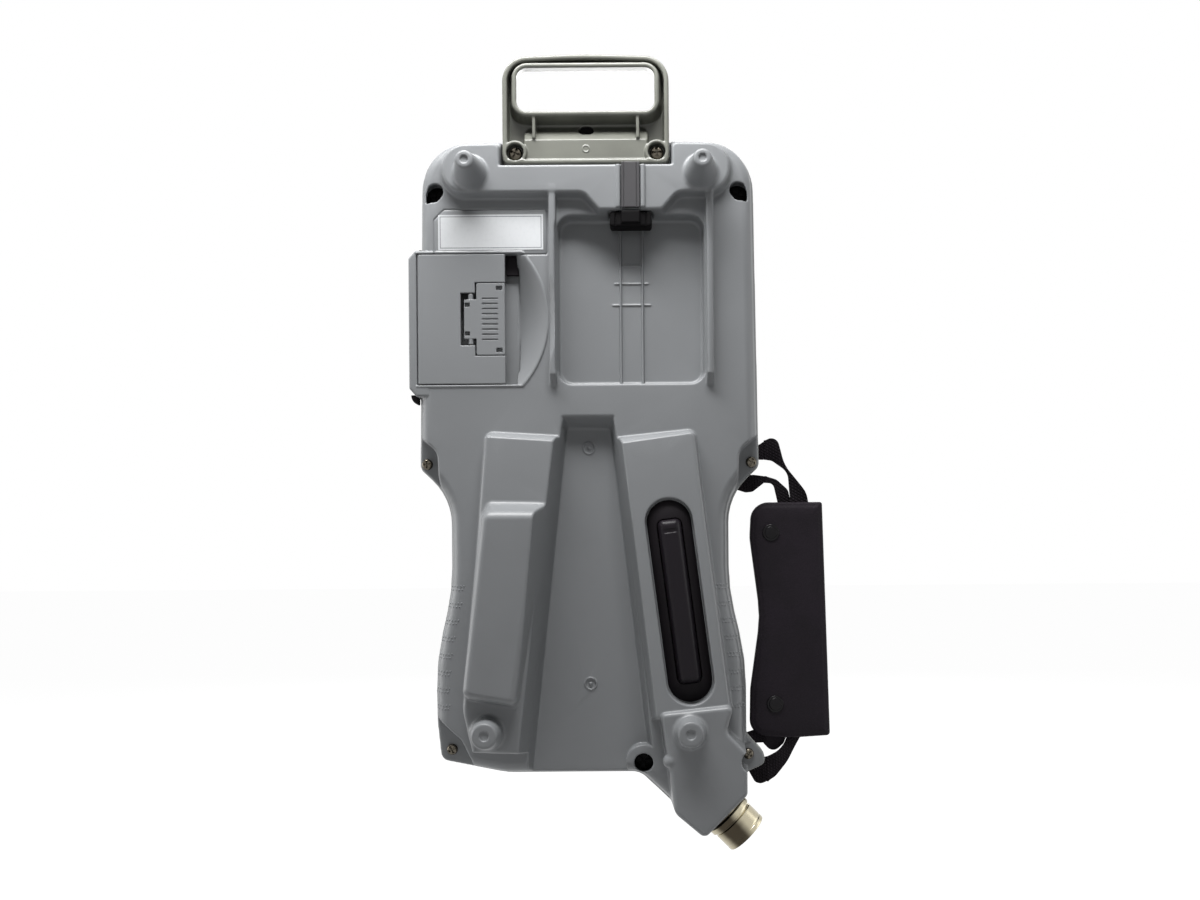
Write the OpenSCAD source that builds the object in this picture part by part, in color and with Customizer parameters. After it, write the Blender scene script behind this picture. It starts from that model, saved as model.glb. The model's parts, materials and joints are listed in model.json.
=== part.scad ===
// Hand-held teach pendant of an industrial robot, seen from the back in use order.
//
// Millimetres. +Z runs up the case, the display looks towards +Y and the back towards -Y.
// The case is drawn with x = 0 on its middle, z = 0 at its bottom edge and depth 0 on the
// joint between the two covers. Depth counts towards the back, so y = -depth.
// in_frame() moves the finished pieces so that the origin is the hanging point, in the
// middle of the underside of the top bar of the hanger handle.

/* [Case outline] */
// Width over the shoulders
case_w = 169; // [167:0.5:171]
// Height of the case without handle and cable spout
case_h = 314.5; // [312:0.5:317]
// Width at the top corners
top_w = 164.6; // [162:0.5:167]
// Radius of the two top corners
top_corner_r = 24; // [20:1:28]
// Rise of the arched top edge
top_arch = 2.4; // [1:0.2:3]
// Distance of the shoulder lobes below the top of the case
shoulder_drop = 163; // [162:0.5:165]
// Width of the waist between the shoulders and the grips
waist_w = 138.4; // [136:0.4:141]
// Width over the bulging grips
grip_w = 154.8; // [152:0.4:157]
// Height of the widest part of the grips, as a share of the height of the shoulders
grip_share = 0.37; // [0.34:0.01:0.4]
// Drop of the tip of the cable spout below the case
spout_drop = 29.2; // [27:0.2:31]
// Width of the slanted end face of the spout
spout_face_w = 31.5; // [30:0.5:33]

/* [Case depth] */
// Depth of the front cover
front_d = 14; // [13:0.5:16]
// Wall of both covers
wall = 2.5; // [2:0.1:2.8]
// Height of the back panel over the joint of the covers
deck_d = 12.5; // [12:0.5:14]
// Height of the thick band at the top
band_d = 18; // [17:0.5:19]
// Height of the floor of the memory stick pocket
pocket_floor_d = 4.5; // [4:0.1:5]
// Height of the floor of the valley between the grip blocks
valley_floor_d = 4.5; // [4:0.1:5]
// Height of the floor of the card bay
bay_floor_d = 5.5; // [5:0.1:6]
// Height of the two grip blocks at their upper end
block_top_d = 20; // [19:0.5:21]
// Height of the two grip blocks at their lower end
block_low_d = 27; // [26:0.5:28]
// Height of the palm block on the left grip
palm_d = 36; // [34:0.5:37]
// Height of the cable block over the spout
cable_block_d = 29; // [28:0.5:30]
// Height of the tips of the four feet
foot_d = 38; // [37.5:0.5:40]

/* [Pocket and ribs] */
// Width of the memory stick pocket
pocket_w = 72.3; // [68:0.5:74]
// Height of the pocket
pocket_h = 82.5; // [78:0.5:83]
// Corner radius of the pocket
pocket_r = 7.5; // [5:0.5:10]
// Width of the two long ribs beside the pocket
rib_w = 3.4; // [2.5:0.1:4]
// Offset of the memory stick port from the middle of the case
port_x = 21.6; // [19:0.2:24]

/* [Card door] */
// Width of the card door
door_w = 43; // [42:0.2:44]
// Height of the card door
door_h = 63.2; // [60:0.2:64]
// Thickness of the card door
door_t = 1.8; // [1.6:0.1:2]
// Width of the finger channel beside the door
finger_w = 6.5; // [5:0.5:7]
// Opening angle of the door that its stop allows
door_open = 90; // [60:5:90]
// Height of the wide part of the latch lever
latch_h = 35; // [32:0.5:38]

/* [Enabling switch] */
// Length of the switch well
well_l = 99.4; // [96:0.2:101]
// Width of the switch well
well_w = 22.8; // [22:0.1:24]
// Lean of the switch towards the middle of the case, in degrees
well_lean = 7.2; // [5:0.2:9]
// Width of the key bar
bar_w = 11.5; // [10:0.1:12.5]
// Length of the key bar
bar_l = 79; // [74:0.5:82]
// Travel of the key bar
bar_travel = 3.5; // [2:0.5:4]

/* [Hanger handle] */
// Width of the handle
handle_w = 81; // [78:0.5:82]
// Rise of the handle over the top of the case
handle_rise = 38; // [34:0.5:42]
// Thickness of the bar over the hand opening
handle_bar = 6.5; // [6:0.5:8]
// Width of the hand opening
opening_w = 66.6; // [60:0.2:68]
// Height of the hand opening
opening_h = 21.5; // [20:0.5:24]
// Thickness of the raised rims of the handle
rim_t = 2.3; // [2:0.1:2.6]

/* [Cable receptacle] */
// Radius of the receptacle barrel that the plug slides over
barrel_r = 11; // [10.4:0.1:11.4]
// Length of the barrel outside the spout
barrel_l = 14; // [12:0.5:16]
// Radius of the hole in the spout
gland_r = 9.5; // [9:0.1:9.8]

/* [Front controls] */
// Radius of the emergency stop head
stop_head_r = 16; // [14:0.5:18]
// Travel of the emergency stop head
stop_travel = 4; // [3:0.5:4]
// Radius of the emergency stop collar
stop_collar_r = 20; // [19:0.5:20.5]
// Radius of the start and hold buttons
button_r = 7; // [6:0.5:7.5]
// Travel of the start and hold buttons
button_travel = 1.5; // [1:0.1:1.6]
// Radius of the turning plug of the mode lock
rotor_r = 6; // [5:0.2:6.4]
// Width of the touch window
window_w = 126; // [122:1:128]
// Height of the touch window
window_h = 98; // [94:1:100]

/* [Hand strap] */
// Distance of the lower end of the sleeve above the lower strap screw
sleeve_low_gap = 8.3; // [7.8:0.1:9]
// Distance of the upper end of the sleeve below the upper strap screw
sleeve_top_gap = 19.4; // [19:0.1:22]
// Width of the sleeve at its upper end
sleeve_w = 36.6; // [34:0.2:40]
// Thickness of the sleeve
sleeve_t = 8; // [6:0.5:9]
// Thickness of the webbing
web_t = 1.5; // [1.2:0.1:2]

/* [Hidden] */
$fn = 64;

// Clearances: a running fit, a placed fit, and the gap round loose rubber
run = 0.05;
slip = 0.2;
loose = 0.3;
eps = 0.01;
arc_step = 15;
min_r = 0.2;

case_grey = "#7d8084";
rim_grey = "#8f938f";
handle_grey = "#63655f";
black = "#1c1a1f";
rubber = "#2a272c";
nickel = "#b9b7ab";
steel = "#a9a99f";
board_green = "#2f6b45";
pale = "#d9dbd6";

// Outlines of the case. A corner is [x, z, radius], listed counter-clockwise as seen
// from the back.
lobe = 5;
shoulder_z = case_h - shoulder_drop;
waist_top_z = shoulder_z - 14.5;
waist_low_z = 0.6 * shoulder_z;
grip_z = grip_share * shoulder_z;
handle_top_z = case_h + handle_rise;
spout_root_x = 24;
spout_tip = [54.9, -spout_drop];
spout_corner = spout_tip + spout_face_w * [cos(45), sin(45)];
spout_mid = (spout_tip + spout_corner) / 2;
lug = [grip_w / 2 + 0.4, 9.1];
shoulder_screw = [case_w / 2 - 4.2, shoulder_z + 2.1];
corner_screw = [-grip_w / 2 + 8.4, 12.3];
top_screw = [top_w / 2 - 8.1, case_h - 29.2];
spout_screw = [26, 6.5];
handle_screw = [handle_w / 2 - 6, case_h - 10.3];

right_side = [
    [grip_w / 2, grip_z, 2.1 * grip_z],
    [waist_w / 2, waist_low_z, 1.1 * waist_low_z],
    [waist_w / 2, waist_top_z, 30],
    [case_w / 2, shoulder_z, lobe],
    [top_w / 2, case_h - top_arch, top_corner_r]
];
left_side = [
    [-top_w / 2, case_h - top_arch, top_corner_r],
    [-case_w / 2, shoulder_z, lobe],
    [-waist_w / 2, waist_top_z, 30],
    [-waist_w / 2, waist_low_z, 1.1 * waist_low_z],
    [-grip_w / 2, grip_z, 2.1 * grip_z],
    [-grip_w / 2 + 0.4, 26, 20],
    [-grip_w / 2 + 2.4, 6.6, lobe],
    [-42, 0, 40]
];
spout_end = [
    [spout_root_x, 0, 10],
    [spout_tip.x, spout_tip.y, 4],
    [spout_corner.x, spout_corner.y, 4]
];
top_edge = [[0, case_h, 500]];
lug_lobe = [
    [lug.x - 0.2, lug.y - 9.6, 2],
    [lug.x + 9.2, lug.y - 5.6, 4],
    [lug.x + 8, lug.y + 0.4, 3.5],
    [grip_w / 2, lug.y + 9.9, 4]
];
case_path = concat(spout_end, lug_lobe, right_side, top_edge, left_side);
deck_path = concat(spout_end, right_side, top_edge, left_side);

// ---------------------------------------------------------------- path functions
function unit(v) = v / norm(v);
function left_of(d) = [-d.y, d.x];
function turned(v, a) = [v.x * cos(a) - v.y * sin(a), v.x * sin(a) + v.y * cos(a)];
function at(path, i) = let (p = path[(i + len(path)) % len(path)]) [p.x, p.y];

// Arc that rounds corner b of the path a-b-c with radius r
function corner_arc(a, b, c, r) =
    r == 0 ? [b] :
    let (
        back = unit(a - b),
        ahead = unit(c - b),
        half = acos(back * ahead) / 2,
        centre = b + unit(back + ahead) * r / sin(half),
        spoke = b + back * r / tan(half) - centre,
        sweep = atan2(cross(-back, ahead), -back * ahead),
        steps = max(2, ceil(abs(sweep) / arc_step))
    )
    [for (k = [0 : steps]) centre + turned(spoke, sweep * k / steps)];

function rounded(path) =
    [for (i = [0 : len(path) - 1])
        each corner_arc(at(path, i - 1), at(path, i), at(path, i + 1), path[i].z)];

// The same path drawn w further inside, with its corner radii to suit
function inset(path, w) =
    [for (i = [0 : len(path) - 1])
        let (
            into = unit(at(path, i) - at(path, i - 1)),
            out = unit(at(path, i + 1) - at(path, i)),
            n1 = left_of(into),
            n2 = left_of(out),
            moved = at(path, i) + w * (n1 + n2) / (1 + n1 * n2),
            r = path[i].z
        )
        [moved.x, moved.y, r == 0 ? 0 : cross(into, out) > 0 ? max(r - w, min_r) : r + w]];

function ring(path, d) = [for (p = rounded(path)) [p.x, -d, p.y]];

// Depth of the sloping tops of the grip blocks at height z
block_top_z = shoulder_z + 14.5;
block_low_z = 24;
function slope_d(z) =
    block_low_d + (block_top_d - block_low_d) * (z - block_low_z) / (block_top_z - block_low_z);
function slope_ring(path, less) =
    [for (p = rounded(path)) [p.x, less - slope_d(p.y), p.y]];

// ---------------------------------------------------------------- solid builders
// Solid through a list of rings of equal length, the rearmost ring last. The resize keeps
// its size: it has OpenSCAD cut up the end faces, which aren't convex.
module skin(rings) {
    n = len(rings[0]);
    last = (len(rings) - 1) * n;
    resize([0, 0, 0]) polyhedron(
        points = [for (r = rings) each r],
        faces = concat(
            [[for (j = [0 : n - 1]) j]],
            [[for (j = [n - 1 : -1 : 0]) last + j]],
            [for (i = [0 : len(rings) - 2], j = [0 : n - 1])
                let (a = i * n + j, b = i * n + (j + 1) % n) [a, a + n, b + n, b]]
        )
    );
}

// Moulding that follows a path, one [depth, inset] pair per ring
module moulded(path, steps) skin([for (s = steps) ring(inset(path, s[1]), s[0])]);

module plate(path, d0, d1)
    rotate([90, 0, 0]) translate([0, 0, d0]) linear_extrude(d1 - d0) polygon(rounded(path));

module rod(p, r, d0, d1)
    rotate([90, 0, 0]) translate([p.x, p.y, d0]) cylinder(r = r, h = d1 - d0);

module taper(p, r0, r1, d0, d1)
    rotate([90, 0, 0]) translate([p.x, p.y, d0]) cylinder(r1 = r0, r2 = r1, h = d1 - d0);

module block(x0, x1, z0, z1, d0, d1)
    translate([x0, -d1, z0]) cube([x1 - x0, d1 - d0, z1 - z0]);

// Profile of [depth, z] points, drawn across the case from x0 to x1
module across(points, x0, x1)
    translate([x0, 0, 0]) rotate([90, 0, 90]) linear_extrude(x1 - x0)
        polygon([for (p = points) [-p.x, p.y]]);

// Upright pin along Z through [x, depth]
module upright(p, r, z0, z1) translate([p.x, -p.y, z0]) cylinder(r = r, h = z1 - z0);

function box_path(x0, x1, z0, z1, r) = [[x0, z0, r], [x1, z0, r], [x1, z1, r], [x0, z1, r]];

// Slot with round ends, centred on c and leaning by the lean of the enabling switch
module slot(c, l, w, d0, d1) {
    translate([c.x, 0, c.y]) rotate([0, -well_lean, 0]) {
        for (s = [-1, 1]) rod([0, s * (l - w) / 2], w / 2, d0, d1);
        block(-w / 2, w / 2, -(l - w) / 2, (l - w) / 2, d0, d1);
    }
}

module both_sides() {
    children();
    mirror([1, 0, 0]) children();
}

// ---------------------------------------------------------------- rear cover
rear_step = 0.8;
lug_d = 3;
notch_d = 2.5;
edge_d = deck_d - 1;
foot_top = [top_w / 2 - 26.6, case_h - 21.5];
foot_low = [48.3, 23.7];
pocket_x0 = port_x + 35.9 - pocket_w;
pocket_x1 = port_x + 35.9;
pocket_z1 = case_h - 40.5;
pocket_z0 = pocket_z1 - pocket_h;
pocket = box_path(pocket_x0, pocket_x1, pocket_z0, pocket_z1, pocket_r);
band_z = case_h - 31.1;
port_block_z = pocket_z1 + 0.7;
band_top_z = case_h - 6.3;
band_end_x = foot_top.x + 14.7;
band_end_r = (band_top_z - band_z) / 2 - 0.4;
band = [
    [-band_end_x, band_z, band_end_r], [port_x - 22.8, band_z, 6], [port_x - 15.2, port_block_z, 3],
    [port_x + 15.2, port_block_z, 3], [port_x + 22.8, band_z, 6],
    [band_end_x, band_z, band_end_r], [band_end_x, band_top_z, band_end_r],
    [0, band_top_z + 1.4, 300], [-band_end_x, band_top_z, band_end_r]
];
left_block = [
    [-56.5, 13, 2], [-30, 12, 0], [-12, block_top_z, 3], [-50, block_top_z + 2.4, 4],
    [-54.8, block_top_z - 60, 90],
    [-61.5, 34, 20]
];
palm_foot = [
    [-61.2, 38.6, 5], [-33, 33.5, 3], [-16, block_top_z - 30.5, 3],
    [-50.4, block_top_z - 29.4, 5]
];
palm_top = [
    [-58.8, 41.8, 4], [-34, 37.6, 3], [-21, block_top_z - 38, 3],
    [-48.6, block_top_z - 37.8, 4]
];
right_block = [
    [30, 33, 0], [69, 36, 4], [55, block_top_z - 23, 90], [52.3, block_top_z + 3, 4],
    [12, block_top_z - 1, 3]
];
cable_block = [
    [spout_tip.x, spout_tip.y + 1, 4], [spout_corner.x - 1, spout_corner.y, 4],
    [76.2, 13.8, 1.5], [66.5, 23.8, 3], [70.2, 37, 3], [33.2, 33.2, 3], [37.4, 6, 12],
    [39.7, -15.4, 8]
];
valley_draft = 0.25;
function valley(d) =
    let (g = valley_draft * (d - valley_floor_d), end = min(0.69 * (d - valley_floor_d), 5.5))
    [[-30 - g, -8, 0], [20 + g, -8, 0], [29.6 + g, 1, 0],
     [10.7 + g, block_top_z + 4.5 + end, 1], [-10.7 - g, block_top_z + 4.5 + end, 1]];

bay_x1 = -(case_w / 2 - 44.5) + finger_w;
bay_x0 = bay_x1 - finger_w - door_w - slip;
bay_z0 = case_h - 123;
bay_z1 = bay_z0 + door_h + 2 * slip + 0.4;
bay_mid = (bay_z0 + bay_z1) / 2;
door_d = deck_d + 0.5;
dish_rim_r = 48.4;
dish_c = [bay_x1 + 13.7 - dish_rim_r, bay_mid];
dish_r = 95;
lip = 1.1;
bay_frame = [
    [bay_x0 - 4, bay_z0 - 1.5, 1], [bay_x0 - 0.5, bay_z0 - 5.5, 1], [bay_x0 + 6, bay_z0 - 5.5, 1],
    [bay_x0 + 6, bay_z1 + 1.8, 1], [bay_x0 - 0.5, bay_z1 + 1.8, 1], [bay_x0 - 4, bay_z1 - 2, 1]
];
hinge = [bay_x0 + 1.9, door_d - 1.7];
hinge_pin_r = 0.8;
port_d = 12.4;
port_cut = [14, 6.6];
strap_w = 9;
strap_sink = 0.8;
seat_d = 4;
notch_w = handle_w + 2;
notch_z = case_h - 17.2;
well_c = [43.8, (block_top_z + 5.2) / 2];
well_floor_d = 18;
receptacle_d = 13.5;
web_d = -5;
swing_x = case_w / 2 + 3.5;
tabs_x1 = swing_x - 1.05;

module feet() {
    for (s = [-1, 1]) {
        difference() {
            taper([s * foot_top.x, foot_top.y], 8, 4.4, band_d - 1, foot_d - 1);
            rod([s * foot_top.x, foot_top.y], 0.9, band_d - 2, band_d - 0.9);
        }
        difference() {
            taper([s * foot_top.x, foot_top.y], 4.4, 3.4, foot_d - 1, foot_d);
            rod([s * foot_top.x, foot_top.y], 1.8, foot_d - 0.7, foot_d + 1);
        }
        taper([s * foot_low.x, foot_low.y], 8, 6, block_low_d - 3, foot_d - 0.8);
        difference() {
            taper([s * foot_low.x, foot_low.y], 6, 5.2, foot_d - 0.8, foot_d);
            rod([s * foot_low.x, foot_low.y], 2.2, foot_d - 0.6, foot_d + 1);
        }
    }
}

module long_rib(x0, x1)
    across([[deck_d - 3, pocket_z0 - 1.2], [deck_d, pocket_z0 - 1.2], [deck_d + 2.5, pocket_z0 + 0.6],
            [band_d - 0.3, pocket_z0 + 6], [band_d - 0.3, band_z + 3], [deck_d - 3, band_z + 3]],
           x0, x1);

module rear_outside() {
    plate(inset(case_path, rear_step), 0, lug_d);
    moulded(deck_path, [[lug_d - 2, 1], [deck_d - 4.5, 2.4], [edge_d, 3.8], [deck_d, 5.2]]);
    moulded(band, [[deck_d - 2, -1.8], [band_d - 1, 0], [band_d, 0.9]]);
    long_rib(pocket_x0 - rib_w, pocket_x0);
    long_rib(pocket_x1 + 0.6, pocket_x1 + 0.6 + rib_w);
    skin([ring(inset(left_block, -2), deck_d - 3), slope_ring(inset(left_block, -0.4), 2),
          slope_ring(inset(left_block, 0.8), 0.5), slope_ring(inset(left_block, 2.2), 0)]);
    skin([ring(palm_foot, deck_d), ring(inset(palm_top, -0.8), palm_d - 1.6),
          ring(inset(palm_top, 0.4), palm_d)]);
    skin([ring(inset(right_block, -2), deck_d - 3), slope_ring(inset(right_block, -0.4), 2),
          slope_ring(inset(right_block, 0.8), 0.5), slope_ring(inset(right_block, 2.2), 0)]);
    moulded(cable_block, [[lug_d - 1, -0.6], [cable_block_d - 2, 0.6], [cable_block_d, 2]]);
    moulded(bay_frame, [[lug_d - 1.5, 1.5], [lug_d + 3, 0], [door_d - 2, 0], [door_d - 0.3, 1.4]]);
    for (s = [-1, 1])
        block(port_x + s * 5.9 - 0.7, port_x + s * 5.9 + 0.7, port_block_z + 1.2, notch_z - 0.6,
              band_d - 1, band_d + 0.7);
}

module finger_dish() intersection() {
    translate([dish_c.x, -door_d - sqrt(pow(dish_r, 2) - pow(dish_rim_r, 2)), dish_c.y])
        sphere(r = dish_r, $fn = 96);
    block(bay_x1 - 1, bay_x1 + 15, bay_z0, bay_z1, bay_floor_d, door_d + 3);
}

module bay_lips() {
    for (z = [bay_z0 - lip, bay_z1]) block(bay_x0 - 0.5, bay_x1, z, z + lip, deck_d - 1, door_d);
    intersection() {
        rod(dish_c, dish_rim_r + lip, deck_d - 1, door_d);
        block(bay_x1 - 0.5, bay_x1 + 18, bay_z0 - lip, bay_z1 + lip, deck_d - 1.5, door_d + 1);
    }
}

module screw_notches() {
    both_sides()
        plate([[shoulder_screw.x - 6.3, shoulder_z - 23.5, 0], [case_w / 2 + 6, shoulder_z - 23.5, 0],
               [case_w / 2 + 6, shoulder_z + 14.5, 0], [case_w / 2 - 0.2, shoulder_z + 13.8, 2],
               [shoulder_screw.x - 5, shoulder_z + 6.5, 6]], notch_d, 40);
    plate([[-grip_w, -9, 0], [corner_screw.x + 12, -9, 0], [corner_screw.x + 11, 8, 4],
           [corner_screw.x + 6, corner_screw.y + 5.9, 5], [corner_screw.x - 5, corner_screw.y + 16, 3],
           [-grip_w, corner_screw.y + 16.2, 0]], notch_d, 40);
    plate([[lug.x - 0.5, lug.y - 8, 0], [lug.x + 20, lug.y - 8, 0], [lug.x + 20, lug.y + 12, 0],
           [lug.x - 0.5, lug.y + 5.3, 0]], notch_d, 40);
}

screw_r = 1.5;
screw_head_r = 2.5;
deep_hole_r = 4.4;
screw_spots = [shoulder_screw, [-shoulder_screw.x, shoulder_screw.y], corner_screw, lug];
deep_spots = [top_screw, [-top_screw.x, top_screw.y], spout_screw];
handle_spots = [handle_screw, [-handle_screw.x, handle_screw.y]];

module at_spout() translate([spout_mid.x, -receptacle_d, spout_mid.y]) rotate([0, 135, 0]) children();

module rear_inside() {
    difference() {
        union() {
            moulded(deck_path, [[-1, 3.4], [deck_d - 6, 5], [deck_d - wall, 7.5]]);
            block(1.7 - foot_top.x, foot_top.x - 1.7, band_z + 0.6, band_top_z - 3, deck_d - 4,
                  band_d - wall);
            plate(inset(left_block, 3), deck_d - 4, block_top_d - wall);
            plate(inset(palm_top, 2.2), deck_d - 4, palm_d - wall);
            plate(inset(right_block, 3), deck_d - 4, block_top_d - wall);
            moulded(cable_block, [[-1, 3.2], [cable_block_d - wall, 3.2]]);
        }
        plate(inset(pocket, -wall), pocket_floor_d - wall, 40);
        skin([ring(inset(valley(valley_floor_d), -wall), valley_floor_d - wall),
              ring(inset(valley(40), -wall), 40)]);
        block(bay_x0 - 6, bay_x1 + wall, bay_z0 - wall, bay_z1 + wall, bay_floor_d - wall, 40);
        block(bay_x1, bay_x1 + 16, bay_z0 - wall, bay_z1 + wall, bay_floor_d - wall + 1, 40);
        block(-notch_w / 2 - wall, notch_w / 2 + wall, notch_z - wall, 400, seat_d - wall, 40);
        for (p = deep_spots) rod(p, deep_hole_r + 2.1, -2, 40);
        for (p = screw_spots) rod(p, 7, -2, 40);
        plate([[-grip_w, -9, 0], [corner_screw.x + 14, -9, 0], [corner_screw.x + 13, 10, 0],
               [corner_screw.x + 4, corner_screw.y + 12, 0], [-grip_w, corner_screw.y + 19, 0]],
              -2, 40);
        slot(well_c, well_l + 2 * wall, well_w + 2 * wall, well_floor_d - wall, 40);
    }
}

// Sloped mouldings of the cover, joined and hollowed as one faceted solid. The round holes
// are cut from it afterwards, so that they stay true cylinders.
module rear_moulding() resize([0, 0, 0]) difference() {
    rear_outside();
    rear_inside();
    moulded(pocket, [[pocket_floor_d, 2], [pocket_floor_d + 0.9, 0.8], [deck_d, 0], [deck_d + 12, 0]]);
    skin([ring(valley(valley_floor_d), valley_floor_d), ring(valley(deck_d), deck_d),
          ring(valley(42), 42)]);
    block(bay_x0, bay_x1, bay_z0, bay_z1, bay_floor_d, door_d + 30);
    screw_notches();
    plate(box_path(-notch_w / 2, notch_w / 2, notch_z, 400, 0), seat_d, 50);
    block(port_x - port_cut.x / 2, port_x + port_cut.x / 2, pocket_z1 - 1, band_z + 8.6,
          port_d - port_cut.y / 2, port_d + port_cut.y / 2);
    block(port_x - strap_w / 2 - slip, port_x + strap_w / 2 + slip, pocket_z1, notch_z + 1,
          band_d - strap_sink, band_d + 5);
    block(port_x - 10.8, port_x + 10.8, pocket_z1 - 6, port_block_z, pocket_floor_d + 2.5, 40);
}

module rear_cover() color(case_grey) {
    difference() {
        union() {
            rear_moulding();
            feet();
            bay_lips();
            for (s = [-1, 1])
                block(port_x + s * 5.4 - 0.5, port_x + s * 5.4 + 0.5, pocket_z0 + 1, pocket_z1 - 0.5,
                      pocket_floor_d - 0.5, pocket_floor_d + 0.8);
        }
        finger_dish();
        rod(lug, 5.3, notch_d, 40);
        for (p = deep_spots) rod(p, deep_hole_r, lug_d, 50);
        for (p = concat(deep_spots, screw_spots, handle_spots)) rod(p, screw_r + run, -4, 12);
        slot(well_c, well_l, well_w, well_floor_d, 40);
        slot(well_c, bar_l + 4, bar_w + 4, deck_d, 40);
        at_spout() translate([0, 0, -20]) cylinder(r = gland_r + run, h = 40);
        upright(hinge, hinge_pin_r + run, bay_z0 - 1.6, bay_z1 + 2.2);
    }
}

// ---------------------------------------------------------------- front cover
face_in_d = wall - front_d;
window_c = [0, case_h - 105.5];
key_top_z = window_c.y - window_h / 2 - 7;
window_t = 1.8;
module_w = window_w + 5;
module_h = window_h + 4;
keys_inset = 9;
key_plate_t = 0.6;
key_sheet_t = 0.8;
stop_p = [-50, case_h - 31.5];
mode_p = [50, case_h - 31.5];
start_p = [23, case_h - 31.5];
hold_p = [-3, case_h - 31.5];
panel_hole_r = 8.4;
stop_barrel_r = 11;
key_field = [
    [-46, 8, 10], [62, 8, 8], [grip_w / 2 - 9, 0.64 * grip_z, 0.35 * grip_z],
    [grip_w / 2 - 9, grip_z, 1.7 * grip_z],
    [waist_w / 2 - 9, waist_low_z, 0.85 * waist_low_z], [waist_w / 2 - 9, waist_top_z + 1, 12],
    [waist_w / 2 - 3, waist_top_z + 9, 5], [waist_w / 2 - 3, key_top_z, 4],
    [-waist_w / 2 + 3, key_top_z, 4], [-waist_w / 2 + 3, waist_top_z + 9, 5],
    [-waist_w / 2 + 9, waist_top_z + 1, 12], [-waist_w / 2 + 9, waist_low_z, 0.85 * waist_low_z],
    [-grip_w / 2 + 9, grip_z, 1.7 * grip_z], [-grip_w / 2 + 9, 0.36 * grip_z, 0.25 * grip_z]
];
spacer_spots = [for (x = [-70, 70], s = [-45, 45]) [x, window_c.y + s]];
web_slot = [-9.5, -1.8];

module front_cover() color(rim_grey) difference() {
    union() {
        difference() {
            moulded(case_path, [[-front_d, 3.2], [1 - front_d, 1.2], [3.5 - front_d, 0.2], [0, 0]]);
            moulded(deck_path, [[face_in_d, wall + 3], [face_in_d + 3, wall + 0.4], [1, wall]]);
        }
        for (p = concat(deep_spots, screw_spots, handle_spots)) rod(p, 3.6, face_in_d - 1, 0);
        for (p = spacer_spots) rod(p, 2.4, face_in_d - 1, face_in_d + 2);
        for (s = [-22, 22])
            translate([well_c.x, 0, well_c.y]) rotate([0, -well_lean, 0])
                rod([0, s], 4, face_in_d - 1, switch_bottom_d - loose);
    }
    moulded(inset(case_path, 1.05), [[-0.8, 0], [1, 0]]);
    for (p = concat(deep_spots, screw_spots, handle_spots))
        rod(p, screw_r + run, face_in_d + 2, 3);
    plate(box_path(-window_w / 2, window_w / 2, window_c.y - window_h / 2,
                   window_c.y + window_h / 2, 3), -front_d - 1, window_t - front_d);
    block(4 - window_w / 2, window_w / 2 - 4, window_c.y - window_h / 2 + 4,
          window_c.y + window_h / 2 - 4, -front_d - 1, 0);
    plate(key_field, -front_d - 1, key_plate_t + key_sheet_t - front_d);
    rod(stop_p, stop_barrel_r + run, -front_d - 1, 0);
    for (p = [mode_p, start_p, hold_p]) rod(p, panel_hole_r, -front_d - 1, 0);
    web_slots();
}

// Slots in the right side of the front cover, behind the two screws that hold the strap
module web_slots() {
    for (i = [0, 1])
        block(web_upper_x[i] - 2, 100, web_upper[i][0] - 0.6, web_upper[i][1] + 0.6,
              web_slot[0], web_slot[1]);
    for (z = web_lower) block(lug.x - 1, 100, z[0] - 0.6, z[1] + 0.6, web_slot[0], web_slot[1]);
}
web_upper = [[shoulder_screw.y + 2, shoulder_screw.y + 10],
             [shoulder_screw.y - 14.2, shoulder_screw.y - 6.6]];
web_upper_x = [shoulder_screw.x, shoulder_screw.x - 9];
web_lower = [[lug.y - 11.5, lug.y - 2.3]];

module case_gasket() color(black) difference() {
    plate(inset(case_path, 1.05), -0.8, 0);
    plate(inset(case_path, 2.05), -2, 1);
}

module case_screws() color(steel)
    for (p = screw_spots) difference() {
        union() {
            rod(p, screw_head_r, notch_d, notch_d + 1.6);
            rod(p, screw_r, -8, notch_d + 0.5);
        }
        cross_recess(p, notch_d + 0.8);
    }

module cross_recess(p, d) {
    block(p.x - 1.3, p.x + 1.3, p.y - 0.25, p.y + 0.25, d, d + 3);
    block(p.x - 0.25, p.x + 0.25, p.y - 1.3, p.y + 1.3, d, d + 3);
}

module long_screws() color(steel)
    for (p = deep_spots) difference() {
        union() {
            rod(p, screw_head_r, lug_d, lug_d + 1.6);
            rod(p, screw_r, -8, lug_d + 0.5);
        }
        cross_recess(p, lug_d + 0.8);
    }

// ---------------------------------------------------------------- hanger handle
hang_z = handle_top_z - handle_bar;
handle_back_d = 15;
web_back_d = 11.5;
handle_d = [seat_d, handle_back_d];
handle_foot_z = notch_z + 1;
handle_path = [
    [-handle_w / 2, handle_foot_z, 3], [handle_w / 2, handle_foot_z, 3],
    [handle_w / 2, handle_top_z - 1.6, 12], [0, handle_top_z, 300],
    [-handle_w / 2, handle_top_z - 1.6, 12]
];
opening = box_path(-opening_w / 2, opening_w / 2, hang_z - opening_h, hang_z, 4.8);
well_r = 4.2;

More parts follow.
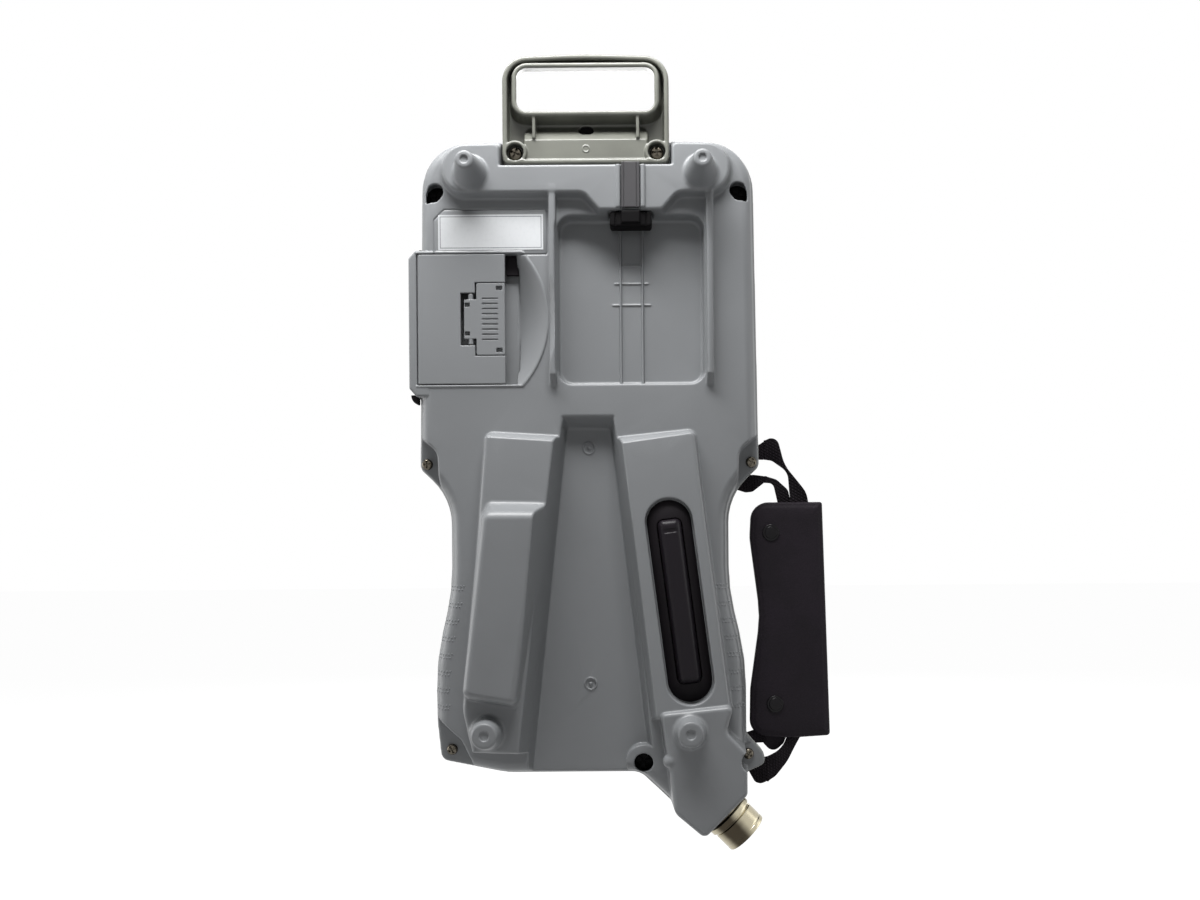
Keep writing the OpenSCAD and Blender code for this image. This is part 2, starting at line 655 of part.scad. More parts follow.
module hanger_handle() color(handle_grey) difference() {
    union() {
        plate(handle_path, seat_d + 2, web_back_d);
        difference() {
            moulded(handle_path, [[seat_d, 0.6], [seat_d + 0.6, 0], [handle_back_d - 0.6, 0],
                                  [handle_back_d, 0.6]]);
            plate(inset(handle_path, rim_t), seat_d - 1, handle_back_d + 1);
        }
        plate(inset(opening, -rim_t), seat_d, handle_back_d);
        plate(box_path(-31, 31, handle_foot_z + 2, case_h + 2, 1.5), seat_d, handle_back_d - 1.2);
        for (s = [-26, 26])
            block(s - 0.9, s + 0.9, case_h + 1, hang_z - opening_h - 1, seat_d + 3, handle_back_d - 0.8);
        for (p = handle_spots) rod(p, 5.6, seat_d, handle_back_d - 0.4);
    }
    plate(opening, seat_d - 1, handle_back_d + 1);
    for (p = handle_spots) {
        rod(p, well_r, web_back_d - 1, handle_back_d + 1);
        rod(p, screw_r + run, seat_d - 1, handle_back_d);
    }
    for (s = [-1, 1]) rod([1.2 * s, case_h + 1.4], 2.5, seat_d - 1, handle_back_d + 1);
    block(-1.2, 1.2, case_h - 1.1, case_h + 3.9, seat_d - 1, handle_back_d + 1);
}

module handle_screws() color(steel)
    for (p = handle_spots) difference() {
        union() {
            rod(p, 3, web_back_d - 1, web_back_d + 1.2);
            rod(p, screw_r, -8, web_back_d);
        }
        cross_recess(p, web_back_d + 0.2);
    }

// ---------------------------------------------------------------- blank label
module blank_label() color("white")
    block(bay_x0 + 10.8, bay_x0 + 62, bay_z1 + lip + 0.7, bay_z1 + lip + 17.9,
          deck_d, deck_d + 0.15);

// ---------------------------------------------------------------- card door
door_x0 = bay_x0 + slip;
door_x1 = bay_x0 + slip + door_w;
door_z0 = bay_z0 + slip + 0.2;
door_z1 = door_z0 + door_h;
door_in = door_d - door_t;
lever_z0 = bay_mid - latch_h / 2;
lever_z1 = bay_mid + latch_h / 2;
lever_x = door_x0 + 29;
stem_x = lever_x - 6;
stem_h = 25.6;
latch_axis = [stem_x + 3.2, door_in + 0.5];
latch_pin_r = 0.6;
knuckle_r = hinge.y - (2 * hinge.y - door_d);

module card_door() color(case_grey) difference() {
    union() {
        block(hinge.x, door_x1, door_z0, door_z1, door_in, door_d);
        upright(hinge, knuckle_r, door_z0, door_z1);
        for (z = [bay_mid - stem_h / 2 - 3.2, bay_mid + stem_h / 2])
            block(latch_axis.x - 1.8, latch_axis.x + 1.8, z, z + 3.2, door_in - 1.1, door_in + 0.5);
    }
    block(lever_x - loose, door_x1 + 1, lever_z0 - loose, lever_z1 + loose, door_in - 1, door_d + 1);
    block(stem_x - 1.7, lever_x, bay_mid - stem_h / 2 - loose + 0.3, bay_mid + stem_h / 2, door_in - 1,
          door_d + 1);
    upright(hinge, hinge_pin_r + run, door_z0 - 1, door_z1 + 1);
    upright(latch_axis, latch_pin_r + run, bay_mid - stem_h / 2 - 2.6, bay_mid + stem_h / 2 + 2.6);
}

module door_pin() color(steel) upright(hinge, hinge_pin_r, bay_z0 - 1.4, bay_z1 + 2);

module door_latch() color(case_grey) difference() {
    union() {
        block(lever_x, door_x1 - 0.1, lever_z0, lever_z1, door_in + 0.2, door_d);
        block(stem_x, lever_x + 1, bay_mid - stem_h / 2 + loose, bay_mid + stem_h / 2 - loose,
              door_in + 0.2, door_d);
        upright(latch_axis, 1.2, bay_mid - stem_h / 2 + loose, bay_mid + stem_h / 2 - loose);
        block(lever_x + 3, lever_x + 4.2, bay_mid - 8, bay_mid + 8, door_in - 2.2, door_in + 0.5);
    }
    upright(latch_axis, latch_pin_r + run, lever_z0, lever_z1);
    translate([latch_axis.x, -latch_axis.y, bay_mid - 3]) cylinder(r = 1.9, h = 6);
    for (s = [-1, 1]) {
        block(door_x1 - 4.3, door_x1 - 1.7, bay_mid + s * 15.6 - 0.9, bay_mid + s * 15.6 + 0.9,
              door_d - 1, door_d + 1);
        block(stem_x + 0.6, stem_x + 2.4, bay_mid + s * 7 - 0.8, bay_mid + s * 7 + 0.8,
              door_d - 0.9, door_d + 1);
    }
    for (z = [-10 : 2.5 : 10])
        block(lever_x + 3.2, lever_x + 8.2, bay_mid + z - 0.4, bay_mid + z + 0.4, door_d - 0.35, door_d + 1);
}

module latch_pin() color(steel)
    upright(latch_axis, latch_pin_r, bay_mid - stem_h / 2 - 2.5, bay_mid + stem_h / 2 + 2.5);

// Torsion spring: close turns of wire round the latch pin
module latch_spring() color(steel)
    for (k = [0 : 5])
        translate([latch_axis.x, -latch_axis.y, bay_mid - 2.5 + k * 0.95])
            rotate_extrude() translate([1.05, 0]) circle(r = 0.3, $fn = 16);

// Card socket on the floor of the bay: header, side guides and eject bar
reader_h = 47;
module card_reader() color(black) difference() {
    union() {
        block(bay_x0 + 5, bay_x0 + 16, bay_mid - reader_h / 2, bay_mid + reader_h / 2,
              bay_floor_d, door_in - 1.2);
        for (s = [-1, 1])
            block(bay_x0 + 15, bay_x0 + 36, bay_mid + s * (reader_h / 2 - 1.1) - 1.1,
                  bay_mid + s * (reader_h / 2 - 1.1) + 1.1, bay_floor_d, door_in - 2.2);
    }
    block(bay_x0 + 8, bay_x0 + 40, bay_mid - 21.6, bay_mid + 21.6, bay_floor_d + 0.7,
          bay_floor_d + 4.2);
}

module door_bumper() color(rubber)
    upright([bay_x0 - 0.3, 6.5], 1.3, bay_z0 - 9.5, bay_z0 - 5.5);

// Rubber plug in the upper end of the finger channel, over the eject slot of the socket
module channel_plug() color(rubber)
    block(bay_x1 - finger_w + 0.2, bay_x1 - slip, bay_z1 - 9.5, bay_z1 - slip, bay_floor_d,
          bay_floor_d + 2.6);

// ---------------------------------------------------------------- memory stick port
port_z0 = pocket_z1 + 3.6;
module port_shell() color(nickel) difference() {
    block(port_x - 6.55, port_x + 6.55, port_z0, port_z0 + 13, port_d - 2.85, port_d + 2.85);
    difference() {
        block(port_x - 6.2, port_x + 6.2, port_z0 - 1, port_z0 + 12, port_d - 2.5, port_d + 2.5);
        block(port_x - 5.6, port_x + 5.6, port_z0 + 0.5, port_z0 + 13, port_d - 2.6, port_d - 0.6);
    }
}

module port_board() color(board_green)
    block(port_x - 9, port_x + 9, port_z0, port_z0 + 16, port_d - 4.2, port_d - 2.85);

cap_z = port_block_z - loose;
cap_axis = [band_d + 0.9, port_block_z + 0.4];

module cap_strap() color(rubber)
    block(port_x - strap_w / 2, port_x + strap_w / 2, cap_axis.y + 0.7, notch_z + 0.6,
          band_d - strap_sink + 0.02, band_d + 0.8);

module port_cap() color(rubber) {
    plate(box_path(port_x - 10.2, port_x + 10.2, cap_z - 7.2, cap_z, 1.4), pocket_floor_d + 3,
          band_d - 1.2);
    block(port_x - strap_w / 2, port_x + strap_w / 2, cap_z - 6, cap_z, band_d - 1.5, band_d + 0.8);
    plate(box_path(port_x - 6.2, port_x + 6.2, cap_z - 1, cap_z + 2.6, 0.8), port_d - 2.6,
          port_d + 2.4);
}

// ---------------------------------------------------------------- enabling switch
switch_top_d = 9.5;
switch_bottom_d = -1;
stem_r = 3;
stem_gap = 40;

module in_well() translate([well_c.x, 0, well_c.y]) rotate([0, -well_lean, 0]) children();

module switch_boot() color(rubber) difference() {
    union() {
        slot(well_c, well_l - 2 * slip, well_w - 2 * slip, well_floor_d, well_floor_d + 1.6);
        slot(well_c, bar_l + 7, bar_w + 7, well_floor_d, well_floor_d + 3.4);
        slot(well_c, bar_l + 4 - 2 * slip, bar_w + 4 - 2 * slip, well_floor_d - 2.2, well_floor_d + 1);
    }
    in_well() block(-bar_w / 2 - loose, bar_w / 2 + loose, -bar_l / 2 - loose, bar_l / 2 + loose,
                    well_floor_d - 5, well_floor_d + 9);
}

module key_bar() color(black) in_well() {
    moulded(box_path(-bar_w / 2, bar_w / 2, -bar_l / 2, bar_l / 2, 3),
            [[well_floor_d - 3, 0], [well_floor_d + 5.6, 0.2], [well_floor_d + 7.4, 1.6],
             [well_floor_d + 7.8, 3]]);
    for (s = [-1, 1]) rod([0, s * stem_gap / 2], stem_r, 4.4, well_floor_d - 2);
}

module switch_block() color(pale) in_well() difference() {
    block(-7, 7, -30, 30, switch_bottom_d, switch_top_d);
    for (s = [-1, 1]) rod([0, s * stem_gap / 2], stem_r + run, 0.4, switch_top_d + 1);
}

// ---------------------------------------------------------------- cable receptacle
shell_bore_r = 8;

module receptacle_shell() color(nickel) at_spout() difference() {
    union() {
        cylinder(r = barrel_r + 0.7, h = 3);
        cylinder(r = barrel_r - 0.8, h = 5);
        translate([0, 0, 4]) cylinder(r = barrel_r, h = barrel_l - 5);
        translate([0, 0, barrel_l - 1 - eps]) cylinder(r1 = barrel_r, r2 = barrel_r - 1, h = 1);
        translate([0, 0, -9]) cylinder(r = gland_r, h = 10);
    }
    translate([0, 0, -10]) cylinder(r = shell_bore_r, h = 14);
    translate([0, 0, 3.9]) cylinder(r = barrel_r - 2, h = barrel_l);
    translate([-0.9, -barrel_r - 1, barrel_l - 4]) cube([1.8, 4, 5]);
}

module receptacle_nut() color(nickel) at_spout() difference() {
    translate([0, 0, -7.4]) cylinder(r = gland_r + 2.3, h = 3, $fn = 6);
    translate([0, 0, -8]) cylinder(r = gland_r + run, h = 5);
}

pin_spots = concat([[0, 0]], [for (k = [0 : 5]) 4.4 * [cos(60 * k), sin(60 * k)]]);

module receptacle_insert() color(black) at_spout() difference() {
    translate([0, 0, -8]) cylinder(r = shell_bore_r - run, h = 11.5);
    for (p = pin_spots) translate([p.x, p.y, -9]) cylinder(r = 0.85, h = 20);
}

module receptacle_pins() color("gold") at_spout()
    for (p = pin_spots) translate([p.x, p.y, -10]) cylinder(r = 0.8, h = 19);

// ---------------------------------------------------------------- front face pieces
module touch_window() color("#20262b")
    plate(box_path(slip - window_w / 2, window_w / 2 - slip, window_c.y - window_h / 2 + slip,
                   window_c.y + window_h / 2 - slip, 3), -front_d, window_t - front_d);

module display_module() color(steel)
    block(-module_w / 2, module_w / 2, window_c.y - module_h / 2, window_c.y + module_h / 2,
          face_in_d, face_in_d + 8);

module key_plate() color(steel)
    plate(inset(key_field, 0.5), key_sheet_t - front_d, key_sheet_t + key_plate_t - front_d);

key_rows = 8;
key_pitch = [15.6, (key_top_z - 33) / key_rows];
module key_sheet() color("#c9cdc8") {
    plate(inset(key_field, slip), -front_d, key_sheet_t - front_d);
    for (r = [0 : key_rows - 1], c = [-3 : 3])
        if (r > 0 || abs(c) < 3)
            plate(box_path(c * key_pitch.x - 5.6, c * key_pitch.x + 5.6, 18 + r * key_pitch.y,
                           28 + r * key_pitch.y, 0), -front_d - 0.7, 0.1 - front_d);
}

board_d = [-1.6, 0];
module main_board() color(board_green) difference() {
    block(-74, 74, window_c.y - 51, window_c.y + 51, board_d[0], board_d[1]);
    for (p = spacer_spots) rod(p, 1.3, -3, 3);
}

module board_spacers() color("#b08d3c") for (p = spacer_spots) difference() {
    rod(p, 2.2, face_in_d + 2, board_d[0]);
    rod(p, 1.2, face_in_d + 4, 3);
}

// ---------------------------------------------------------------- emergency stop
stop_rest_d = -front_d - 8.7;
module stop_collar() color("gold") difference() {
    taper(stop_p, stop_collar_r - 1, stop_collar_r, -front_d - 3, -front_d);
    rod(stop_p, stop_barrel_r + run, -front_d - 4, 1 - front_d);
}

module stop_block() color("#3c3f45") difference() {
    union() {
        rod(stop_p, stop_barrel_r, -front_d - 4.5, face_in_d + 1);
        block(stop_p.x - 13, stop_p.x + 13, stop_p.y - 13, stop_p.y + 11.4, face_in_d + 0.1, 9.2);
    }
    rod(stop_p, 6 + run, -front_d - 5, 3 - front_d + 9.5);
}

module stop_plunger() color("#c8c8c0")
    rod(stop_p, 6, stop_rest_d - 4.2, -2 - stop_travel);

module stop_head() color("crimson") translate([stop_p.x, -stop_rest_d, stop_p.y]) rotate([-90, 0, 0])
    difference() {
        rotate_extrude()
            polygon(concat(
                [[0, 0], [stop_head_r - 4, 0], [stop_head_r - 1, 1.2], [stop_head_r, 4], [stop_head_r, 7.5]],
                [for (a = [15 : 15 : 75]) [stop_head_r - 3 + 3 * cos(a), 7.5 + 2.4 * sin(a)]],
                [[stop_head_r - 4, 10], [0, 10.6]]));
        translate([0, 0, -1]) cylinder(r = 6 + run, h = 5.3);
    }

// ---------------------------------------------------------------- mode lock
lock_end_d = -2;
module mode_barrel() color(steel) difference() {
    union() {
        rod(mode_p, 11.5, -front_d - 1.5, -front_d);
        rod(mode_p, panel_hole_r - run, -front_d - 1, lock_end_d);
    }
    rod(mode_p, rotor_r + run, -front_d - 2, lock_end_d + 1);
}

module mode_rotor() color(steel) difference() {
    rod(mode_p, rotor_r, -front_d - 2, -4);
    block(mode_p.x - 1.3, mode_p.x + 1.3, mode_p.y - 3.9, mode_p.y + 3.9, -front_d - 3, -front_d + 6);
}

module mode_key() color(nickel) difference() {
    union() {
        block(mode_p.x - 1.2, mode_p.x + 1.2, mode_p.y - 3.8, mode_p.y + 3.8, -front_d - 8,
              -front_d + 5.9);
        translate([mode_p.x - 1.2, 0, mode_p.y]) rotate([90, 0, 90]) linear_extrude(2.4)
            translate([front_d + 17, 0]) circle(r = 11);
    }
    translate([mode_p.x - 3, 0, mode_p.y]) rotate([90, 0, 90]) linear_extrude(6)
        translate([front_d + 21.5, 0]) circle(r = 3);
}

module mode_block() color("#3c3f45") {
    block(mode_p.x - 12, mode_p.x + 12, mode_p.y - 12, mode_p.y + 11.4, lock_end_d, 1.6);
    block(mode_p.x - 12, mode_p.x + 12, mode_p.y - 5.5, mode_p.y + 11.4, 1, 7);
}

// ---------------------------------------------------------------- start and hold buttons
bezel_end_d = -3;
cap_back_d = -10.5;
module push_button(p) {
    taper(p, button_r - 0.8, button_r, -front_d - 2.4, -front_d - 1.8);
    rod(p, button_r, -front_d - 1.8, cap_back_d);
    rod(p, 2, cap_back_d - 0.5, cap_back_d + 4);
}
module start_button() color("limegreen") push_button(start_p);
module hold_button() color("ghostwhite") push_button(hold_p);

module button_bezels() color(steel) for (p = [start_p, hold_p]) difference() {
    union() {
        rod(p, panel_hole_r + 1.4, -front_d - 1.2, -front_d);
        rod(p, panel_hole_r - run, -front_d - 1, bezel_end_d);
    }
    rod(p, button_r + run, -front_d - 2, bezel_end_d + 1);
}

module button_switches() color(black) for (p = [start_p, hold_p]) difference() {
    rod(p, button_r, cap_back_d + button_travel + 0.3, bezel_end_d);
    rod(p, 2 + run, cap_back_d, cap_back_d + 4 + button_travel + 0.3);
}

// ---------------------------------------------------------------- hand strap
sleeve_z1 = shoulder_screw.y - sleeve_top_gap;
sleeve_z0 = lug.y + sleeve_low_gap;
sleeve_x0 = swing_x - 8.2;
sleeve = [
    [sleeve_x0 - 0.9, sleeve_z0, 4], [sleeve_x0 + sleeve_w + 3.2, sleeve_z0, 4],
    [sleeve_x0 + sleeve_w, sleeve_z1, 3], [sleeve_x0 + 1, sleeve_z1, 5],
    [sleeve_x0, sleeve_z1 - 12, 20], [sleeve_x0 + 4.6, (sleeve_z0 + sleeve_z1) / 2, 60],
    [sleeve_x0 - 0.4, sleeve_z0 + 14, 20]
];
knuckle_gap = swing_x - tabs_x1 - web_t / 2;

module web_piece(path) plate(path, web_d - web_t / 2, web_d + web_t / 2);

module strap_tabs() color(black) {
    for (i = [0, 1])
        web_piece(box_path(web_upper_x[i] + 0.7, tabs_x1, web_upper[i][0], web_upper[i][1], 0));
    for (z = web_lower) web_piece(box_path(lug.x + 2.2, tabs_x1, z[0], z[1], 0));
}

module strap_web() color(black) {
    for (z = concat(web_upper, web_lower)) upright([swing_x, web_d], web_t / 2, z[0], z[1]);
    web_piece([[swing_x, web_upper[0][0], 0], [swing_x + 3, web_upper[0][0] + 1.4, 4],
               [swing_x + 10.5, sleeve_z1 + loose, 0], [swing_x + 20.4, sleeve_z1 + loose, 0],
               [swing_x + 9, web_upper[0][1] - 0.2, 9], [swing_x, web_upper[0][1], 0]]);
    web_piece([[swing_x, web_upper[1][0], 0], [swing_x + 3.5, web_upper[1][0] + 0.2, 5],
               [swing_x + 7.6, sleeve_z1 + loose, 0], [swing_x + 10.6, sleeve_z1 + loose, 0],
               [swing_x + 12, sleeve_z1 + 4, 2], [swing_x + 5.5, web_upper[1][1] - 0.2, 6],
               [swing_x, web_upper[1][1], 0]]);
    web_piece([[swing_x, web_lower[0][0], 0], [swing_x + 8, lug.y - 7.1, 8],
               [swing_x + 17.5, sleeve_z0 - loose, 0], [swing_x + 7.5, sleeve_z0 - loose, 0],
               [swing_x + 3, lug.y - 1.1, 5], [swing_x, web_lower[0][1], 0]]);
}

module strap_sleeve() color(black)
    moulded(sleeve, [[web_d - sleeve_t / 2, 2], [web_d - sleeve_t / 2 + 1.5, 0.3],
                     [web_d + sleeve_t / 2 - 1.5, 0.3], [web_d + sleeve_t / 2, 2]]);

module strap_snaps() color(black)
    for (p = [[swing_x + 2.2, sleeve_z1 - 15.5], [swing_x + 3.7, sleeve_z0 + 15.7]])
        taper(p, 4.3, 3.2, web_d + sleeve_t / 2, web_d + sleeve_t / 2 + 1.3);

// ---------------------------------------------------------------- assembly
module in_frame() translate([0, (handle_d[0] + handle_d[1]) / 2, -hang_z]) children();

in_frame() rear_cover();
in_frame() front_cover();
in_frame() case_gasket();
in_frame() case_screws();
in_frame() long_screws();
in_frame() hanger_handle();
in_frame() handle_screws();
in_frame() blank_label();
in_frame() card_door();
in_frame() door_pin();
in_frame() door_latch();
in_frame() latch_pin();
in_frame() latch_spring();
in_frame() card_reader();
in_frame() door_bumper();
in_frame() channel_plug();
in_frame() port_shell();
in_frame() port_board();
in_frame() cap_strap();
in_frame() port_cap();
in_frame() switch_boot();
in_frame() key_bar();
in_frame() switch_block();
in_frame() receptacle_shell();
in_frame() receptacle_nut();
in_frame() receptacle_insert();
in_frame() receptacle_pins();
in_frame() touch_window();
in_frame() display_module();
in_frame() key_sheet();
in_frame() key_plate();
in_frame() main_board();
in_frame() board_spacers();
in_frame() stop_collar();
in_frame() stop_block();
in_frame() stop_plunger();
in_frame() stop_head();
in_frame() mode_barrel();
in_frame() mode_rotor();
in_frame() mode_key();
in_frame() mode_block();
in_frame() start_button();
in_frame() hold_button();
in_frame() button_bezels();
in_frame() button_switches();
in_frame() strap_tabs();
in_frame() strap_web();
in_frame() strap_sleeve();
in_frame() strap_snaps();
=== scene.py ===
"""Looks of a hand-held robot teach pendant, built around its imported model.

Sizes are in millimetres in the case's own axes until a mesh is made: x to the right as seen
from the back, z up from the bottom edge, and depth d from the joint of the covers towards the
back. Row coordinates then put the origin at the hanging point of the handle, in metres.
"""

from __future__ import annotations

import json
import logging
import math
from dataclasses import dataclass
from enum import Enum
from typing import Callable, Sequence

import bmesh
import bpy
import numpy as np
from mathutils import Matrix, Vector

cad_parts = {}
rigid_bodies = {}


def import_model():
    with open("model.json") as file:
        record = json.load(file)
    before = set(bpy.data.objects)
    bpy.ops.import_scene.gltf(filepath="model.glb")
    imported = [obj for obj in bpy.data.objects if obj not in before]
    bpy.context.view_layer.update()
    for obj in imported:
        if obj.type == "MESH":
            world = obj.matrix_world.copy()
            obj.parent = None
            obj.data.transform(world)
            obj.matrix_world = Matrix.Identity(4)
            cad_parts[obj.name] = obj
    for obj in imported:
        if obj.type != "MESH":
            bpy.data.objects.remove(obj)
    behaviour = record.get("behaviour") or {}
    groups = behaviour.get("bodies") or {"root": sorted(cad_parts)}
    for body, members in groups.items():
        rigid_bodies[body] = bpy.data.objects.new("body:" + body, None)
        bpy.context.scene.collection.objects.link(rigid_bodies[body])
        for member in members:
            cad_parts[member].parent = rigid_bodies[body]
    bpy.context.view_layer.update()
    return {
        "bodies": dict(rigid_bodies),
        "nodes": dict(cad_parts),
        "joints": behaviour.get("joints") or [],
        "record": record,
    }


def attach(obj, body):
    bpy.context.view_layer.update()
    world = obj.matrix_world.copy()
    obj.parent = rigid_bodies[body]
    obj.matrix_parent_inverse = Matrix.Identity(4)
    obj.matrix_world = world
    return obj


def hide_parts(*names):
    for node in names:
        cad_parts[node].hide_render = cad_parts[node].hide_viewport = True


LOG = logging.getLogger("pendant")

MM = 0.001

# Hanging point, outline of the case and the depths of its faces, in millimetres
HANG_D = 9.5
HANG_Z = 346.0
CASE_W = 169.0
CASE_H = 314.5
TOP_W = 164.6
WAIST_W = 138.4
GRIP_W = 154.8
SHOULDER_Z = 151.5
FRONT_D = 14.0
DECK_D = 12.5
BAND_D = 18.0
POCKET_FLOOR = 4.5
VALLEY_FLOOR = 4.5
BAY_FLOOR = 5.5
PALM_D = 36.0
CABLE_D = 29.0
FOOT_D = 38.0
BLOCK_TOP_D = 20.0
BLOCK_LOW_D = 27.0
SPOUT_D = 13.5
DOOR_D = 13.0
WELL_FLOOR = 18.0
NOTCH_D = 2.5
LUG_D = 3.0
WALL = 2.5
HALF_TURN = math.pi
ARC_STEP = 8.0  # largest angle of one chord of an arc, in degrees

Corner = tuple[float, float, float]
Array = np.ndarray


def row(x: float, z: float, d: float) -> Vector:
    """Case coordinates in millimetres as a point of the row frame in metres."""
    return Vector((x * MM, (HANG_D - d) * MM, (z - HANG_Z) * MM))


# ------------------------------------------------------------------------------ outlines
def rounded(path: Sequence[Corner]) -> Array:
    """Rounds the corners of a closed path.

    Args:
        path: corners as (x, z, radius), counter-clockwise.

    Returns:
        The points of the closed outline, one row each.
    """
    points: list[tuple[float, float]] = []
    count = len(path)
    for i in range(count):
        a, b, c = (np.array(path[(i + k) % count][:2], float) for k in (-1, 0, 1))
        radius = path[i][2]
        if radius <= 0:
            points.append((b[0], b[1]))
            continue
        back, ahead = (a - b) / np.linalg.norm(a - b), (c - b) / np.linalg.norm(c - b)
        half = math.acos(float(np.clip(back @ ahead, -1, 1))) / 2
        bisector = (back + ahead) / np.linalg.norm(back + ahead)
        centre = b + bisector * radius / math.sin(half)
        spoke = b + back * radius / math.tan(half) - centre
        sweep = math.atan2(-back[0] * ahead[1] + back[1] * ahead[0], float(-back @ ahead))
        steps = max(2, math.ceil(abs(math.degrees(sweep)) / ARC_STEP))
        for k in range(steps + 1):
            angle = sweep * k / steps
            cos, sin = math.cos(angle), math.sin(angle)
            points.append((centre[0] + spoke[0] * cos - spoke[1] * sin,
                           centre[1] + spoke[0] * sin + spoke[1] * cos))
    return np.array(points)


SPOUT_TIP = (54.9, -29.2)
SPOUT_CORNER = (54.9 + 31.5 * math.sqrt(0.5), -29.2 + 31.5 * math.sqrt(0.5))
SPOUT_MID = ((SPOUT_TIP[0] + SPOUT_CORNER[0]) / 2, (SPOUT_TIP[1] + SPOUT_CORNER[1]) / 2)
LUG = (GRIP_W / 2 + 0.4, 9.1)
SHOULDER_SCREW = (CASE_W / 2 - 4.2, SHOULDER_Z + 2.1)
CORNER_SCREW = (-GRIP_W / 2 + 8.4, 12.3)
TOP_SCREW = (TOP_W / 2 - 8.1, CASE_H - 29.2)
SPOUT_SCREW = (26.0, 6.5)

SPOUT_END: list[Corner] = [(24, 0, 10), (*SPOUT_TIP, 4), (*SPOUT_CORNER, 4)]
LUG_LOBE: list[Corner] = [
    (LUG[0] - 0.2, LUG[1] - 9.6, 2), (LUG[0] + 9.2, LUG[1] - 5.6, 4),
    (LUG[0] + 8, LUG[1] + 0.4, 3.5), (GRIP_W / 2, LUG[1] + 9.9, 4),
]
RIGHT_SIDE: list[Corner] = [
    (GRIP_W / 2, 56, 120), (WAIST_W / 2, 91, 100), (WAIST_W / 2, SHOULDER_Z - 14.5, 30),
    (CASE_W / 2, SHOULDER_Z, 5), (TOP_W / 2, CASE_H - 2.4, 24),
]
LEFT_SIDE: list[Corner] = [
    (-TOP_W / 2, CASE_H - 2.4, 24), (-CASE_W / 2, SHOULDER_Z, 5),
    (-WAIST_W / 2, SHOULDER_Z - 14.5, 30), (-WAIST_W / 2, 91, 100), (-GRIP_W / 2, 56, 120),
    (-GRIP_W / 2 + 0.4, 26, 20), (-GRIP_W / 2 + 2.4, 6.6, 5), (-42, 0, 40),
]
TOP_EDGE: list[Corner] = [(0, CASE_H, 500)]
CASE_PATH = SPOUT_END + LUG_LOBE + RIGHT_SIDE + TOP_EDGE + LEFT_SIDE
DECK_PATH = SPOUT_END + RIGHT_SIDE + TOP_EDGE + LEFT_SIDE

# Stick pocket, port block and top band
PORT_X = 21.6
POCKET = (PORT_X + 35.9 - 72.3, PORT_X + 35.9, 191.5, 274.0)
PORT_BLOCK_Z = 274.7
BAND_Z = 283.4
NOTCH_Z = CASE_H - 17.2
BAND: list[Corner] = [
    (-69.8, BAND_Z, 11.6), (PORT_X - 22.8, BAND_Z, 6), (PORT_X - 15.2, PORT_BLOCK_Z, 3),
    (PORT_X + 15.2, PORT_BLOCK_Z, 3), (PORT_X + 22.8, BAND_Z, 6), (69.8, BAND_Z, 11.6),
    (69.8, CASE_H - 7.2, 11.6), (0, CASE_H - 6.0, 300), (-69.8, CASE_H - 7.2, 11.6),
]
LEFT_BLOCK: list[Corner] = [
    (-56.5, 13, 2), (-30, 12, 0), (-12, 166, 3), (-50, 168.4, 4), (-54.8, 106, 90),
    (-61.5, 34, 20),
]
PALM_FOOT: list[Corner] = [(-61.2, 38.6, 5), (-33, 33.5, 3), (-16, 135.5, 3), (-50.4, 136.6, 5)]
PALM_TOP: list[Corner] = [(-58.8, 41.8, 4), (-34, 37.6, 3), (-21, 128, 3), (-48.6, 128.2, 4)]
RIGHT_BLOCK: list[Corner] = [
    (30, 28, 0), (69.6, 30, 4), (55, 143, 90), (52.3, 169, 4), (12, 165, 3),
]
CABLE_BLOCK: list[Corner] = [
    (SPOUT_TIP[0], SPOUT_TIP[1] + 1, 4), (SPOUT_CORNER[0] - 1, SPOUT_CORNER[1], 4),
    (76.2, 13.8, 1.5), (66.5, 23.8, 3), (70.2, 37, 3), (33.2, 33.2, 3), (37.4, 6, 12),
    (39.7, -15.4, 8),
]
# Well of the enabling switch, card bay with its finger dish, and feet
WELL_C = (43.8, 85.6)
WELL_LEAN = 7.2
BAY = (-83.2, -33.5, 191.5, 255.5)
DISH_RIM_R = 48.4
DISH_BALL_R = 84
DISH_C = (BAY[1] + 13.7 - DISH_RIM_R, (BAY[2] + BAY[3]) / 2)
FOOT_TOP = (55.7, 293.0)
FOOT_LOW = (48.3, 23.7)


def valley(d: float) -> list[Corner]:
    """Outline of the valley between the grip blocks at depth d."""
    g = 0.25 * (d - VALLEY_FLOOR)
    end = min(0.69 * (d - VALLEY_FLOOR), 5.5)
    return [(-30 - g, -8, 0), (20 + g, -8, 0), (29.6 + g, 1, 0), (10.7 + g, 170.5 + end, 1),
            (-10.7 - g, 170.5 + end, 1)]


# ------------------------------------------------------------------------------ solid fields
def meet(a: Array, b: Array, r: float) -> Array:
    """Where two solids overlap, with the common edge rounded to radius r."""
    if r <= 0:
        return np.maximum(a, b)
    corner = np.sqrt(np.maximum(a + r, 0) ** 2 + np.maximum(b + r, 0) ** 2)
    return np.minimum(np.maximum(a, b), -r) + corner


def join(a: Array, b: Array, r: float) -> Array:
    """Two solids together, with a fillet of radius r in the corner between them."""
    return -meet(-a, -b, r)


